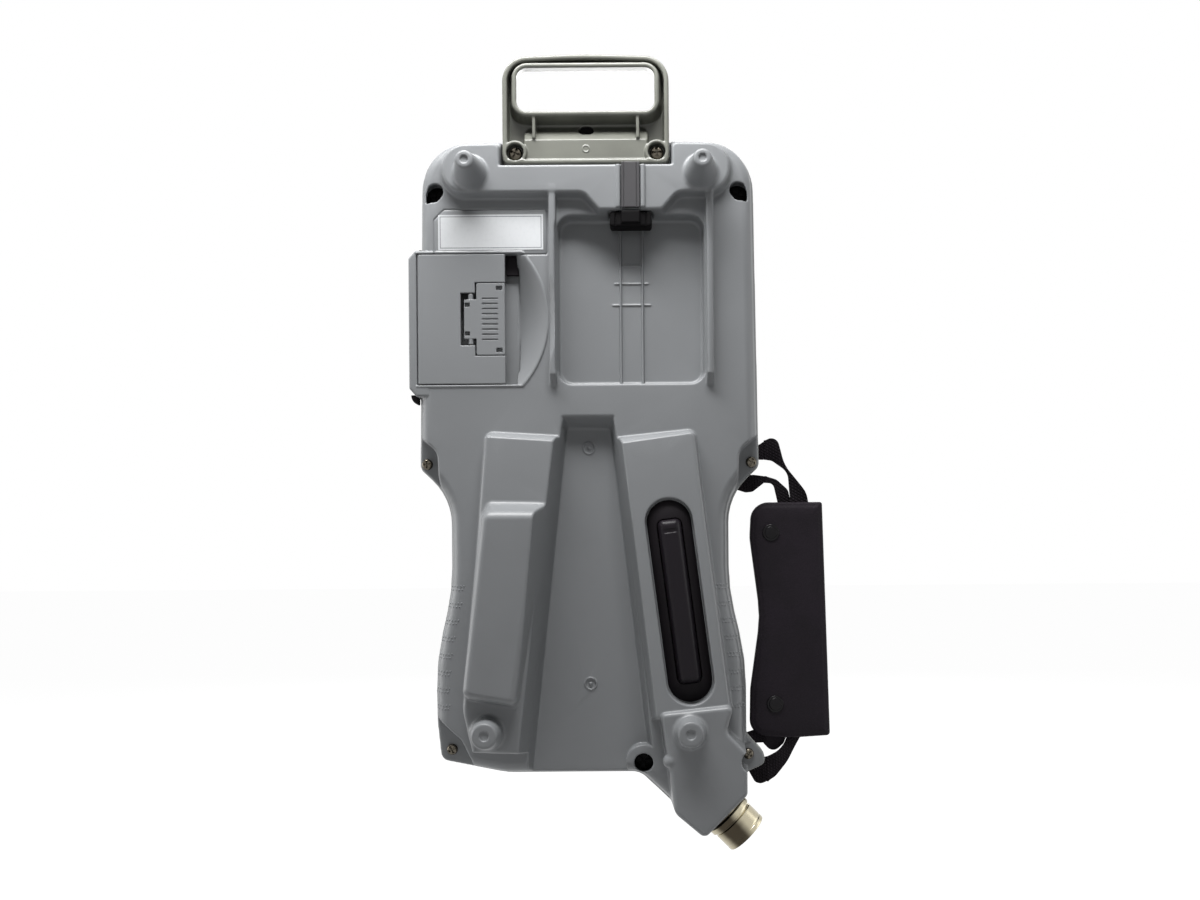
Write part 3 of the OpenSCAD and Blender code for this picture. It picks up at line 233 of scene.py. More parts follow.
def segment_distance(x: Array, z: Array, points: Array) -> Array:
    """Signed distance to a closed outline, negative inside.

    Args:
        x: columns of the grid, shape (n, 1).
        z: rows of the grid, shape (1, m).
        points: the closed outline.

    Returns:
        Distances, shape (n, m).
    """
    best = np.full((x.shape[0], z.shape[1]), 1e9, np.float32)
    inside = np.zeros(best.shape, bool)
    for (x0, z0), (x1, z1) in zip(points, np.roll(points, -1, axis=0)):
        ex, ez = np.float32(x1 - x0), np.float32(z1 - z0)
        length = ex * ex + ez * ez
        if length < 1e-12:
            continue
        px, pz = x - np.float32(x0), z - np.float32(z0)
        t = np.clip((px * ex + pz * ez) / length, 0, 1)
        best = np.minimum(best, (px - t * ex) ** 2 + (pz - t * ez) ** 2)
        crosses = (z0 <= z) != (z1 <= z)
        side = (px * ez - pz * ex) > 0 if z1 <= z0 else (px * ez - pz * ex) < 0
        inside ^= crosses & side
    return np.where(inside, -np.sqrt(best), np.sqrt(best))


@dataclass
class Patch:
    """A window of a distance field, which changes the field that it is cut from."""

    x: Array
    z: Array
    d: Array
    v: Array
    outer: Array | None = None

    def plan(self, path: Sequence[Corner]) -> Array:
        """Signed distance to a path in plan, shape (n, m, 1)."""
        flat = segment_distance(self.x[:, :, 0], self.z[:, :, 0], rounded(path))
        return flat[:, :, None]

    def circle(self, centre: tuple[float, float], r: float) -> Array:
        """Signed distance to a circle in plan."""
        return np.sqrt((self.x - centre[0]) ** 2 + (self.z - centre[1]) ** 2) - r

    def rect(self, x0: float, x1: float, z0: float, z1: float, r: float = 0.0) -> Array:
        """Signed distance to a rectangle in plan with corners of radius r."""
        return boxed(self.x - (x0 + x1) / 2, self.z - (z0 + z1) / 2, (x1 - x0) / 2,
                     (z1 - z0) / 2, r)

    def slot(self, centre: tuple[float, float], length: float, width: float, lean: float) -> Array:
        """Signed distance in plan to a slot with round ends that leans to -x at its top."""
        cos, sin = math.cos(math.radians(lean)), math.sin(math.radians(lean))
        px, pz = self.x - centre[0], self.z - centre[1]
        along = px * -sin + pz * cos
        across = px * cos + pz * sin
        half = (length - width) / 2
        along = along - np.clip(along, -half, half)
        return np.sqrt(across ** 2 + along ** 2) - width / 2

    def add(self, solid: Array, r: float = 0.0) -> None:
        """Joins a solid to the field."""
        self.v[...] = join(self.v, solid, r)

    def cut(self, solid: Array, r: float = 0.0) -> None:
        """Takes a solid out of the field."""
        self.v[...] = meet(self.v, -solid, r)


@dataclass
class Moulding:
    """A solid kept as a distance field on a grid, from which a smooth mesh is drawn."""

    x: tuple[float, float]
    z: tuple[float, float]
    d: tuple[float, float]
    step: float

    def __post_init__(self) -> None:
        """Lays out the grid, empty."""
        axes = [np.arange(lo, hi + self.step, self.step, dtype=np.float32)
                for lo, hi in (self.x, self.z, self.d)]
        self.axes = axes
        self.v = np.full([len(a) for a in axes], 1e3, np.float32)
        self.outer: Array | None = None

    def keep_outer(self) -> None:
        """Keeps the outer form as it is now, which linings stay inside."""
        self.outer = self.v.copy()

    def window(self, x0: float = -1e9, x1: float = 1e9, z0: float = -1e9,
               z1: float = 1e9) -> Patch:
        """The part of the grid between these limits in plan, over its whole depth."""
        ix, iz = (slice(int(np.searchsorted(a, lo)), int(np.searchsorted(a, hi, "right")))
                  for a, lo, hi in ((self.axes[0], x0, x1), (self.axes[1], z0, z1)))
        return Patch(self.axes[0][ix][:, None, None], self.axes[1][iz][None, :, None],
                     self.axes[2][None, None, :], self.v[ix, iz, :],
                     None if self.outer is None else self.outer[ix, iz, :])

    def mesh(self, name: str, most: int) -> bpy.types.Object:
        """Draws the surface by surface nets, thins it, and shades it by the field's slope.

        Args:
            name: name of the new object.
            most: largest number of triangles.

        Returns:
            The object, in row coordinates, in metres.
        """
        v = np.pad(self.v, 1, constant_values=5.0)
        index, points = self.net_points(v)
        quads = self.net_quads(v < 0, index)
        lowest = np.array([a[0] for a in self.axes], np.float64) - self.step
        place = lowest + points * self.step
        rows = np.stack([place[:, 0] * MM, (HANG_D - place[:, 2]) * MM,
                         (place[:, 1] - HANG_Z) * MM], 1)
        data = bpy.data.meshes.new(name)
        data.from_pydata(rows.tolist(), [], quads.tolist())
        thing = placed(name, data)
        faces = 2 * len(quads)
        if faces > most:
            thin = thing.modifiers.new("thin", "DECIMATE")
            thin.ratio = most / faces
            thing = applied(thing)
        point_out(thing)
        self.shade(thing)
        return thing

    @staticmethod
    def net_points(v: Array) -> tuple[Array, Array]:
        """One point for each cell that the surface passes.

        Args:
            v: the field, with a margin of one cell of empty space.

        Returns:
            The number of each cell's point, or -1, and the points in grid steps.
        """
        inside = v < 0
        corners = [(i, j, k) for i in (0, 1) for j in (0, 1) for k in (0, 1)]
        size = np.array(v.shape) - 1
        some, every = np.zeros(size, bool), np.ones(size, bool)
        for i, j, k in corners:
            part = inside[i:i + size[0], j:j + size[1], k:k + size[2]]
            some |= part
            every &= part
        cells = np.argwhere(some & ~every)
        index = np.full(size, -1, np.int32)
        index[tuple(cells.T)] = np.arange(len(cells))
        total = np.zeros((len(cells), 3))
        count = np.zeros(len(cells))
        for a in corners:
            for axis in range(3):
                if a[axis]:
                    continue
                b = tuple(1 if n == axis else a[n] for n in range(3))
                va = v[tuple((cells + a).T)]
                vb = v[tuple((cells + b).T)]
                hit = (va < 0) != (vb < 0)
                t = np.where(hit, va / np.where(hit, va - vb, 1), 0)
                spot = (cells + np.array(a)).astype(float)
                spot[:, axis] += t
                total += np.where(hit[:, None], spot, 0)
                count += hit
        return index, total / count[:, None]

    @staticmethod
    def net_quads(inside: Array, index: Array) -> Array:
        """One face for each edge of the grid that the surface crosses.

        Args:
            inside: whether each grid point is inside the solid.
            index: the number of each cell's point.

        Returns:
            The four points of each face, in order round it.
        """
        quads: list[Array] = []
        for axis in range(3):
            other = [n for n in range(3) if n != axis]
            lo = [slice(None)] * 3
            hi = [slice(None)] * 3
            lo[axis], hi[axis] = slice(None, -1), slice(1, None)
            first = inside[tuple(lo)]
            flips = first != inside[tuple(hi)]
            spots = np.argwhere(flips)
            rising = first[tuple(spots.T)]
            ring = []
            for p, q in ((0, 0), (1, 0), (1, 1), (0, 1)):
                cell = spots.copy()
                cell[:, other[0]] -= p
                cell[:, other[1]] -= q
                ring.append(index[tuple(cell.T)])
            quad = np.stack(ring, 1)
            turn = rising if axis != 1 else ~rising
            quad[turn] = quad[turn][:, ::-1]
            quads.append(quad)
        return np.concatenate(quads)

    def shade(self, thing: bpy.types.Object) -> None:
        """Gives the mesh smooth shading with normals taken from the field's slope."""
        data = thing.data
        co = np.zeros(len(data.vertices) * 3, np.float32)
        data.vertices.foreach_get("co", co)
        co = co.reshape(-1, 3).astype(np.float64)
        case = np.stack([co[:, 0] / MM, co[:, 2] / MM + HANG_Z, HANG_D - co[:, 1] / MM], 1)
        lowest = np.array([a[0] for a in self.axes])
        spot = (case - lowest) / self.step

        def sample(offset: tuple[float, float, float]) -> Array:
            """Field values at the vertices, moved by an offset in grid steps."""
            p = np.clip(spot + np.array(offset), 0, np.array(self.v.shape) - 1.001)
            cell = p.astype(int)
            f = p - cell
            value = np.zeros(len(p))
            for i in (0, 1):
                for j in (0, 1):
                    for k in (0, 1):
                        weight = (np.where(i, f[:, 0], 1 - f[:, 0])
                                  * np.where(j, f[:, 1], 1 - f[:, 1])
                                  * np.where(k, f[:, 2], 1 - f[:, 2]))
                        value += weight * self.v[cell[:, 0] + i, cell[:, 1] + j,
                                                 cell[:, 2] + k]
            return value

        reach = 0.75
        slope = np.stack([sample((reach, 0, 0)) - sample((-reach, 0, 0)),
                          sample((0, 0, -reach)) - sample((0, 0, reach)),
                          sample((0, reach, 0)) - sample((0, -reach, 0))], 1)
        length = np.linalg.norm(slope, axis=1, keepdims=True)
        slope = slope / np.maximum(length, 1e-9)
        data.shade_smooth()
        data.normals_split_custom_set_from_vertices(slope.tolist())


# ------------------------------------------------------------------------------ mesh helpers
def placed(name: str, data: bpy.types.ID) -> bpy.types.Object:
    """A new object in the scene that holds this data."""
    thing = bpy.data.objects.new(name, data)
    bpy.context.scene.collection.objects.link(thing)
    return thing


def applied(thing: bpy.types.Object) -> bpy.types.Object:
    """Turns an object with modifiers into a plain mesh object of the same name."""
    bpy.context.view_layer.update()
    graph = bpy.context.evaluated_depsgraph_get()
    data = bpy.data.meshes.new_from_object(thing.evaluated_get(graph))
    name = thing.name
    old = thing.data
    bpy.data.objects.remove(thing)
    if old.users == 0:
        bpy.data.meshes.remove(old)
    return placed(name, data)


def point_out(thing: bpy.types.Object) -> None:
    """Turns a closed mesh right side out where its volume comes out negative."""
    data = thing.data
    bm = bmesh.new()
    bm.from_mesh(data)
    if bm.calc_volume(signed=True) < 0:
        bmesh.ops.reverse_faces(bm, faces=bm.faces[:])
    bm.to_mesh(data)
    bm.free()


def made(name: str, bm: bmesh.types.BMesh) -> bpy.types.Object:
    """Turns a bmesh in row coordinates into an object with flat shading.

    Args:
        name: name of the object.
        bm: the mesh, which is freed.

    Returns:
        The object.
    """
    bmesh.ops.remove_doubles(bm, verts=bm.verts[:], dist=1e-7)
    bmesh.ops.recalc_face_normals(bm, faces=bm.faces[:])
    data = bpy.data.meshes.new(name)
    bm.to_mesh(data)
    bm.free()
    return placed(name, data)


# ------------------------------------------------------------------------------ shader tools
class Sock:
    """A node's output, on which Python operators add Math nodes."""

    def __init__(self, tree: bpy.types.NodeTree, out: bpy.types.NodeSocket) -> None:
        """Wraps one output of a node of the tree."""
        self.tree, self.out = tree, out

    def math(self, operation: str, *others: Sock | float) -> Sock:
        """Adds one Math node on this output and the others."""
        node = self.tree.nodes.new("ShaderNodeMath")
        node.operation = operation
        for socket, value in zip(node.inputs, (self, *others)):
            if isinstance(value, Sock):
                self.tree.links.new(value.out, socket)
            else:
                socket.default_value = value
        return Sock(self.tree, node.outputs[0])

    def __add__(self, o: Sock | float) -> Sock:
        """Sum."""
        return self.math("ADD", o)

    def __mul__(self, o: Sock | float) -> Sock:
        """Product."""
        return self.math("MULTIPLY", o)

    def __sub__(self, o: Sock | float) -> Sock:
        """Difference."""
        return self.math("SUBTRACT", o)


class Palette:
    """One material and the nodes that feed its shader."""

    def __init__(self, name: str) -> None:
        """Starts a material with its shader.

        Args:
            name: name of the material.
        """
        self.material = bpy.data.materials.new(name)
        self.material.use_nodes = True
        self.tree = self.material.node_tree
        self.shader = next(n for n in self.tree.nodes if n.type == "BSDF_PRINCIPLED")

    def node(self, kind: str, settings: dict[str, object] | None = None,
             **values: object) -> bpy.types.Node:
        """Adds a node.

        Args:
            kind: the node's type.
            settings: attributes that are set first.
            **values: values or outputs for the inputs, named with underscores for blanks.

        Returns:
            The node.
        """
        node = self.tree.nodes.new(kind)
        for key, value in (settings or {}).items():
            setattr(node, key, value)
        for key, value in values.items():
            self.feed(node.inputs[key.replace("_", " ")], value)
        return node

    def feed(self, socket: bpy.types.NodeSocket, value: object) -> None:
        """Links an output to a socket, or sets the socket's value."""
        if isinstance(value, Sock):
            self.tree.links.new(value.out, socket)
        elif isinstance(value, bpy.types.NodeSocket):
            self.tree.links.new(value, socket)
        else:
            socket.default_value = value

    def out(self, node: bpy.types.Node, name: str | int = 0) -> Sock:
        """One output of a node, for arithmetic."""
        return Sock(self.tree, node.outputs[name])

    def place(self) -> bpy.types.NodeSocket:
        """The coordinates that patterns are laid out on."""
        return self.node("ShaderNodeTexCoord").outputs["Object"]

    def axes(self) -> tuple[Sock, ...]:
        """The same coordinates as three outputs, for arithmetic."""
        split = self.node("ShaderNodeSeparateXYZ", None, Vector=self.place())
        return tuple(self.out(split, axis) for axis in "XYZ")

    def noise(self, scale: float, detail: float = 3.0, vector: object | None = None) -> Sock:
        """Noise between 0 and 1 over the piece."""
        node = self.node("ShaderNodeTexNoise", None, Vector=vector or self.place(),
                         Scale=scale, Detail=detail)
        return self.out(node, "Fac")

    def ramp(self, value: Sock, low: float, high: float) -> Sock:
        """Stretches the span from low to high over 0 to 1, smoothly."""
        node = self.node("ShaderNodeMapRange", {"interpolation_type": "SMOOTHSTEP"})
        for key, v in (("Value", value), ("From Min", low), ("From Max", high)):
            self.feed(node.inputs[key], v)
        return self.out(node)

    def mix(self, factor: Sock, a: Sequence[float], b: Sequence[float]) -> bpy.types.NodeSocket:
        """Mixes two colours by a factor."""
        node = self.node("ShaderNodeMix", {"data_type": "RGBA"})
        self.feed(node.inputs["Factor"], factor)
        node.inputs[6].default_value = (*a, 1)
        node.inputs[7].default_value = (*b, 1)
        return node.outputs[2]

    def bump(self, height: Sock, strength: float, distance: float) -> None:
        """Raises the surface by a height map of that many metres."""
        node = self.node("ShaderNodeBump", None, Height=height, Strength=strength,
                         Distance=distance)
        self.feed(self.shader.inputs["Normal"], node.outputs[0])

    def set(self, **values: object) -> None:
        """Sets or links inputs of the shader, named with underscores for blanks."""
        for key, value in values.items():
            self.feed(self.shader.inputs[key.replace("_", " ")], value)


def shade(*levels: float) -> tuple[float, float, float]:
    """A colour given in display levels from 0 to 255, as linear values."""
    r, g, b = levels if len(levels) == 3 else levels * 3
    return tuple(c / 12.92 if c <= 0.04045 else ((c + 0.055) / 1.055) ** 2.4
                 for c in (r / 255, g / 255, b / 255))


# ------------------------------------------------------------------------------ finishes
@dataclass(frozen=True)
class Finish:
    """A surface finish: colour, gloss and the small unevenness of the surface."""

    name: str
    colour: tuple[float, float, float]
    roughness: float = 0.5
    metallic: float = 0.0
    wear: float = 0.06
    patch_scale: float = 40.0
    grain_scale: float = 1800.0
    grain: float = 0.00002
    specular: float = 0.5
    kin: str = ""

    def make(self) -> bpy.types.Material:
        """Builds the material: mottled colour, uneven gloss and a fine grain."""
        p = Palette(self.name)
        broad = p.noise(self.patch_scale, 4)
        fine = p.noise(self.grain_scale, 2)
        dark = tuple(c * (1 - self.wear) for c in self.colour)
        light = tuple(min(1.0, c * (1 + self.wear)) for c in self.colour)
        p.set(Base_Color=p.mix(p.ramp(broad, 0.3, 0.7), dark, light),
              Roughness=p.ramp(broad * 0.5 + fine * 0.5, 0.0, 1.0) * 0.18
              + (self.roughness - 0.09),
              Metallic=self.metallic, Specular_IOR_Level=self.specular)
        p.bump(fine, 0.6, self.grain)
        return p.material


@dataclass(frozen=True)
class Leather(Finish):
    """Black grained leather with faint creases."""

    def make(self) -> bpy.types.Material:
        """Builds the material: pebbled grain over soft creases."""
        p = Palette(self.name)
        cells = p.node("ShaderNodeTexVoronoi", {"feature": "DISTANCE_TO_EDGE"},
                       Vector=p.place(), Scale=900.0)
        pebble = p.ramp(p.out(cells, "Distance"), 0.0, 0.18)
        crease = p.noise(70, 5)
        fine = p.noise(2500, 2)
        p.set(Base_Color=p.mix(p.ramp(crease, 0.35, 0.7), self.colour,
                               tuple(c * 1.5 for c in self.colour)),
              Roughness=p.ramp(crease, 0.2, 0.8) * 0.2 + self.roughness,
              Specular_IOR_Level=self.specular)
        p.bump(pebble * 0.6 + crease * 1.6 + fine * 0.2, 0.7, 0.00012)
        return p.material


@dataclass(frozen=True)
class Weave(Finish):
    """Woven webbing, with its threads at a slant to the case's axes."""

    def make(self) -> bpy.types.Material:
        """Builds the material: ribs across and along the ribbon."""
        p = Palette(self.name)
        x, _, z = p.axes()
        along = (x * 0.5 + z * 0.87) * (2 * HALF_TURN / 0.0013)
        across = (x * 0.87 - z * 0.5) * (2 * HALF_TURN / 0.0017)
        ribs = along.math("SINE") * 0.5 + 0.5
        cords = (across + along * 0.5).math("SINE") * 0.5 + 0.5
        cloth = ribs * cords
        p.set(Base_Color=p.mix(cloth, tuple(c * 0.5 for c in self.colour),
                               tuple(c * 2.2 for c in self.colour)),
              Roughness=cloth * 0.1 + self.roughness, Specular_IOR_Level=self.specular)
        p.bump(cloth, 0.9, 0.0004)
        return p.material


@dataclass(frozen=True)
class Label(Finish):
    """Blank pale film with a thin printed frame."""

    middle: tuple[float, float] = (-46.8, 265.9)
    half: tuple[float, float] = (24.6, 7.6)

    def make(self) -> bpy.types.Material:
        """Builds the material: plain film and one thin line near its edge."""
        p = Palette(self.name)
        x, _, z = p.axes()
        spot = row(*self.middle, 0)
        off_x = (x - spot.x).math("ABSOLUTE") - self.half[0] * MM
        off_z = (z - spot.z).math("ABSOLUTE") - self.half[1] * MM
        line = off_x.math("MAXIMUM", off_z).math("ABSOLUTE").math("LESS_THAN", 0.00018)
        speck = p.noise(600, 3)
        shown = line * 0.8 + p.ramp(speck, 0.45, 0.8) * 0.06
        p.set(Base_Color=p.mix(shown, self.colour, shade(70, 74, 80)),
              Roughness=p.ramp(speck, 0.2, 0.8) * 0.12 + self.roughness)
        p.bump(p.noise(2200, 2), 0.3, 0.00001)
        return p.material


@dataclass(frozen=True)
class Turned(Finish):
    """Turned metal of the cable receptacle, with rings lighter and darker along its axis and a
    painted reflection in its colour: a dark stripe along the axis between bright sides.
    """

    def make(self) -> bpy.types.Material:
        """Builds the material: rings along the axis, broad bright streaks round it, and a painted
        reflection: a dark stripe along the axis between bright sides.
        """
        p = Palette(self.name)
        x, y, z = p.axes()
        long_way = p.node("ShaderNodeCombineXYZ", None, X=(x - z) * 0.7, Y=y * 0.06,
                          Z=(x + z) * 0.05)
        rings = p.noise(260, 1, long_way.outputs[0])
        round_way = p.node("ShaderNodeCombineXYZ", None, X=(x - z) * 0.03, Y=y, Z=x + z)
        streaks = p.noise(130, 2, round_way.outputs[0])
        # Painted reflection: a dark stripe along the receptacle's axis, bright to both sides of
        # it.
        spot = row(*SPOUT_MID, 0)
        off = (x + z - (spot.x + spot.z)) * math.sqrt(0.5)
        band = p.ramp((off + 0.0025).math("ABSOLUTE"), 0.002, 0.009)
        rings_streaks_and_painted_reflection = p.ramp(band * 0.7 + rings * 0.3 + streaks * 0.25, 0.3, 0.95)
        fine = p.noise(2400, 2)
        # The colour runs from the dark nickel to this pale one; the dark stripe and the bright
        # sides are painted reflection.
        p.set(Base_Color=p.mix(rings_streaks_and_painted_reflection, self.colour, shade(188, 180, 156)),
              Roughness=rings * 0.16 + (self.roughness - 0.06), Metallic=self.metallic)
        p.bump(fine, 0.4, 0.00001)
        return p.material


@dataclass(frozen=True)
class KeyFilm(Finish):
    """Printed key film: pale keys on a darker ground."""

    def make(self) -> bpy.types.Material:
        """Builds the material: the ground is darker than the raised keys."""
        p = Palette(self.name)
        raised = p.ramp(p.axes()[1], 0.0236, 0.0239)
        fine = p.noise(1600, 2)
        p.set(Base_Color=p.mix(raised, self.colour, shade(214, 217, 214)),
              Roughness=fine * 0.14 + (self.roughness - 0.07))
        p.bump(fine, 0.5, 0.00002)
        return p.material


class Looks(Enum):
    """Every finish of the pendant."""

    HOUSING = Finish("housing_plastic", shade(118, 120, 122), 0.4, wear=0.015, specular=0.4)
    FRONT = Finish("front_plastic", shade(150, 152, 150), 0.46, wear=0.015)
    HANDLE = Finish("handle_plastic", shade(99, 100, 93), 0.34, wear=0.1, specular=0.5)
    DOOR = Finish("door_plastic", shade(118, 120, 122), 0.42, wear=0.012, specular=0.4)
    RUBBER = Finish("black_rubber", shade(22, 19, 22), 0.55, wear=0.15, specular=0.1)
    DARK = Finish("black_plastic", shade(22, 18, 23), 0.38, wear=0.12, specular=0.14)
    STEEL = Finish("plated_steel", shade(92, 87, 78), 0.26, 1.0)
    # Plated steel painted near black: painted shade for the long screws deep in their holes.
    DULL = Finish("dulled_steel", shade(16, 16, 16), 0.6, specular=0.1, kin="plated_steel")
    # Nickel: this dark colour is the dark end of the painted reflection that the turned finish
    # lays on the receptacle.
    NICKEL = Turned("nickel_shell", shade(62, 56, 46), 0.2, 1.0)
    BRASS = Finish("contact_brass", shade(214, 176, 92), 0.3, 1.0)
    BOARD = Finish("board_laminate", shade(48, 110, 72), 0.4)
    LABEL = Label("label_film", shade(196, 198, 200), 0.34, wear=0.01)
    WINDOW = Finish("window_glass", shade(20, 24, 28), 0.1, wear=0.03, grain=0.0)
    MODULE = Finish("module_case", shade(150, 150, 148), 0.4)
    KEYS = KeyFilm("key_film", shade(112, 120, 126), 0.4, wear=0.02)
    RED = Finish("stop_red", shade(190, 20, 18), 0.3, wear=0.05)
    YELLOW = Finish("stop_yellow", shade(236, 186, 26), 0.42, wear=0.04)
    GREEN = Finish("start_green", shade(34, 140, 66), 0.32, wear=0.04)
    WHITE = Finish("hold_white", shade(220, 220, 214), 0.32, wear=0.02)
    SWITCH = Finish("switch_case", shade(56, 58, 64), 0.5)
    SNAP = Finish("snap_lacquer", shade(12, 10, 13), 0.24, specular=0.16, kin="black_plastic")
    # Cap strap: the black rubber painted lighter grey, partly the strap's own grey and partly
    # painted sheen.
    STRAP = Finish("strap_rubber", shade(56, 55, 57), 0.5, specular=0.3, kin="black_rubber")
    # Black rubber painted darker than the boot's: painted shade on the port cap under its block
    # and on the disc in the handle's oval.
    CAP = Finish("cap_rubber", shade(10, 9, 10), 0.6, specular=0.06, kin="black_rubber")
    LEATHER = Leather("sleeve_leather", shade(24, 20, 25), 0.5, specular=0.12)
    WEAVE = Weave("web_fabric", shade(24, 20, 24), 0.75, specular=0.1)


class Workshop:
    """Keeps the finished materials and puts them on pieces."""

    def __init__(self, frame: dict) -> None:
        """Makes every material once.
        """
        self.nodes = frame["nodes"]
        self.materials = {look: look.value.make() for look in Looks}
        slots = {s["node"]: s["material_slot"] for s in frame["record"]["subparts"]}
        by_slot = {look.value.name: look for look in Looks}
        for name, node in self.nodes.items():
            self.paint(node, by_slot[slots[name]])

    def paint(self, thing: bpy.types.Object, look: Looks) -> None:
        """Puts one finish on the whole of a piece."""
        if thing.data.materials:
            for i in range(len(thing.data.materials)):
                thing.data.materials[i] = self.materials[look]
        else:
            thing.data.materials.append(self.materials[look])

    def dress(self, thing: bpy.types.Object, look: Looks, body: str, *nodes: str) -> None:
        """Paints a piece, ties it to its body and hides the nodes that it stands for."""
        self.paint(thing, look)
        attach(thing, body)
        if nodes:
            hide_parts(*nodes)
        look.value.kin or look.value.name
        LOG.info("%s: %d faces", thing.name, len(thing.data.polygons))


# ------------------------------------------------------------------------------ rear cover
@dataclass
class RearCover:
    """The moulded back of the case."""

    step: float
    most: int = 190000
    edge_r: float = 4.2
    side_draft: float = 0.2

    def build(self) -> bpy.types.Object:
        """Builds the whole cover as one hollow moulding."""
        m = Moulding((-89, 88.5), (-34, 317), (-1.2, 39.5), self.step)
        self.shell(m)
        self.top_band(m)
        self.grip_blocks(m)
        self.hollow(m)
        self.recesses(m)
        self.holes(m)
        return m.mesh("rear_cover_moulding", self.most)

    def shell(self, m: Moulding) -> None:
        """Base slab with the strap lug, and the deck with its rounded rim."""
        w = m.window()
        w.v[...] = meet(w.plan(CASE_PATH) + 0.8, w.d - LUG_D, 0.5)
        side = w.plan(DECK_PATH) + 0.9 + self.side_draft * np.maximum(w.d - 1, 0)
        w.add(meet(side, w.d - DECK_D, self.edge_r), 0.6)

    def top_band(self, m: Moulding) -> None:
        """Thick band at the top with its two lobes, port block, ribs and door frame."""
        w = m.window(z0=262)
        flat = meet(w.plan(BAND), -w.rect(-41.5, 41.5, NOTCH_Z, 400), 3.0)
        w.add(meet(flat + 0.5 + 0.3 * (w.d - BAND_D), w.d - BAND_D, 1.0), 1.1)
        for x0, x1 in ((POCKET[0] - 3.4, POCKET[0]), (POCKET[1] + 0.6, POCKET[1] + 4.0)):
            w = m.window(x0 - 6, x1 + 6, POCKET[2] - 8, BAND_Z + 8)
            top = np.maximum(w.d - BAND_D + 0.3,
                             (w.d - DECK_D - 1.0 - 0.95 * (w.z - POCKET[2])) * 0.72)
            w.add(meet(w.rect(x0, x1, POCKET[2] - 1.5, BAND_Z + 4, 0.8), top, 0.9), 0.9)
        w = m.window(x1=BAY[0] + 14, z0=BAY[2] - 12, z1=BAY[3] + 8)
        frame = w.plan([
            (BAY[0] - 4, BAY[2] - 1.5, 1), (BAY[0] - 0.5, BAY[2] - 5.5, 1),
            (BAY[0] + 6, BAY[2] - 5.5, 1), (BAY[0] + 6, BAY[3] + 1.8, 1),
            (BAY[0] - 0.5, BAY[3] + 1.8, 1), (BAY[0] - 4, BAY[3] - 2, 1)])
        band = meet(frame, np.maximum(w.d - DOOR_D + 0.3, LUG_D - 1.5 - w.d), 1.0)
        w.add(band, 0.3)

    def grip_blocks(self, m: Moulding) -> None:
        """The two grip blocks, the palm block, the cable block and the feet."""
        for area, path, top_z, tilt, x0 in (
                ((-70, 0, 2, 176), LEFT_BLOCK, 163.0, 0.063, -14),
                ((8, 78, 22, 176), RIGHT_BLOCK, 162.0, -0.13, 17)):
            w = m.window(*area)
            slope = BLOCK_LOW_D + (BLOCK_TOP_D - BLOCK_LOW_D) * (w.z - 24) / (166 - 24)
            bevel = ((w.z - top_z + tilt * (w.x - x0)) + (w.d - BLOCK_TOP_D)) * 0.707
            top = np.maximum(w.d - slope, bevel)
            w.add(meet(w.plan(path) + 0.1 * (w.d - 12), top, 1.8), 1.0)
        w = m.window(-70, 0, 2, 176)
        t = (w.d - DECK_D) / (PALM_D - DECK_D)
        loft = w.plan(PALM_FOOT) * (1 - t) + w.plan(PALM_TOP) * t
        w.add(meet(loft, w.d - PALM_D, 3.2), 1.6)
        w = m.window(26, 88, -34, 44)
        w.add(meet(w.plan(CABLE_BLOCK) + 0.05 * (w.d - 10), w.d - CABLE_D, 2.0), 0.8)
        for s in (-1, 1):
            self.foot(m, (s * FOOT_TOP[0], FOOT_TOP[1]), BAND_D, 8.0, 4.2, 1.8)
            self.foot(m, (s * FOOT_LOW[0], FOOT_LOW[1]), BLOCK_LOW_D, 8.0, 6.0, 2.2)

    def foot(self, m: Moulding, c: tuple[float, float], base: float, r0: float, r1: float,
             dimple: float) -> None:
        """One conical foot with a dimple in its tip."""
        w = m.window(c[0] - 14, c[0] + 14, c[1] - 14, c[1] + 14)
        lean = (r0 - r1) / (FOOT_D - base)
        cone = (w.circle(c, r0) + lean * (w.d - base)) / math.hypot(1, lean)
        w.add(meet(cone, w.d - FOOT_D, 1.0), 1.6)
        w.cut(np.maximum(w.circle(c, dimple), FOOT_D - 0.7 - w.d), 0.2)

    def hollow(self, m: Moulding) -> None:
        """Leaves a wall of even thickness, open towards the joint of the covers."""
        m.keep_outer()
        w = m.window()
        w.v[...] = np.maximum(np.maximum(w.v, -(w.v + WALL + 0.4)), -w.d)

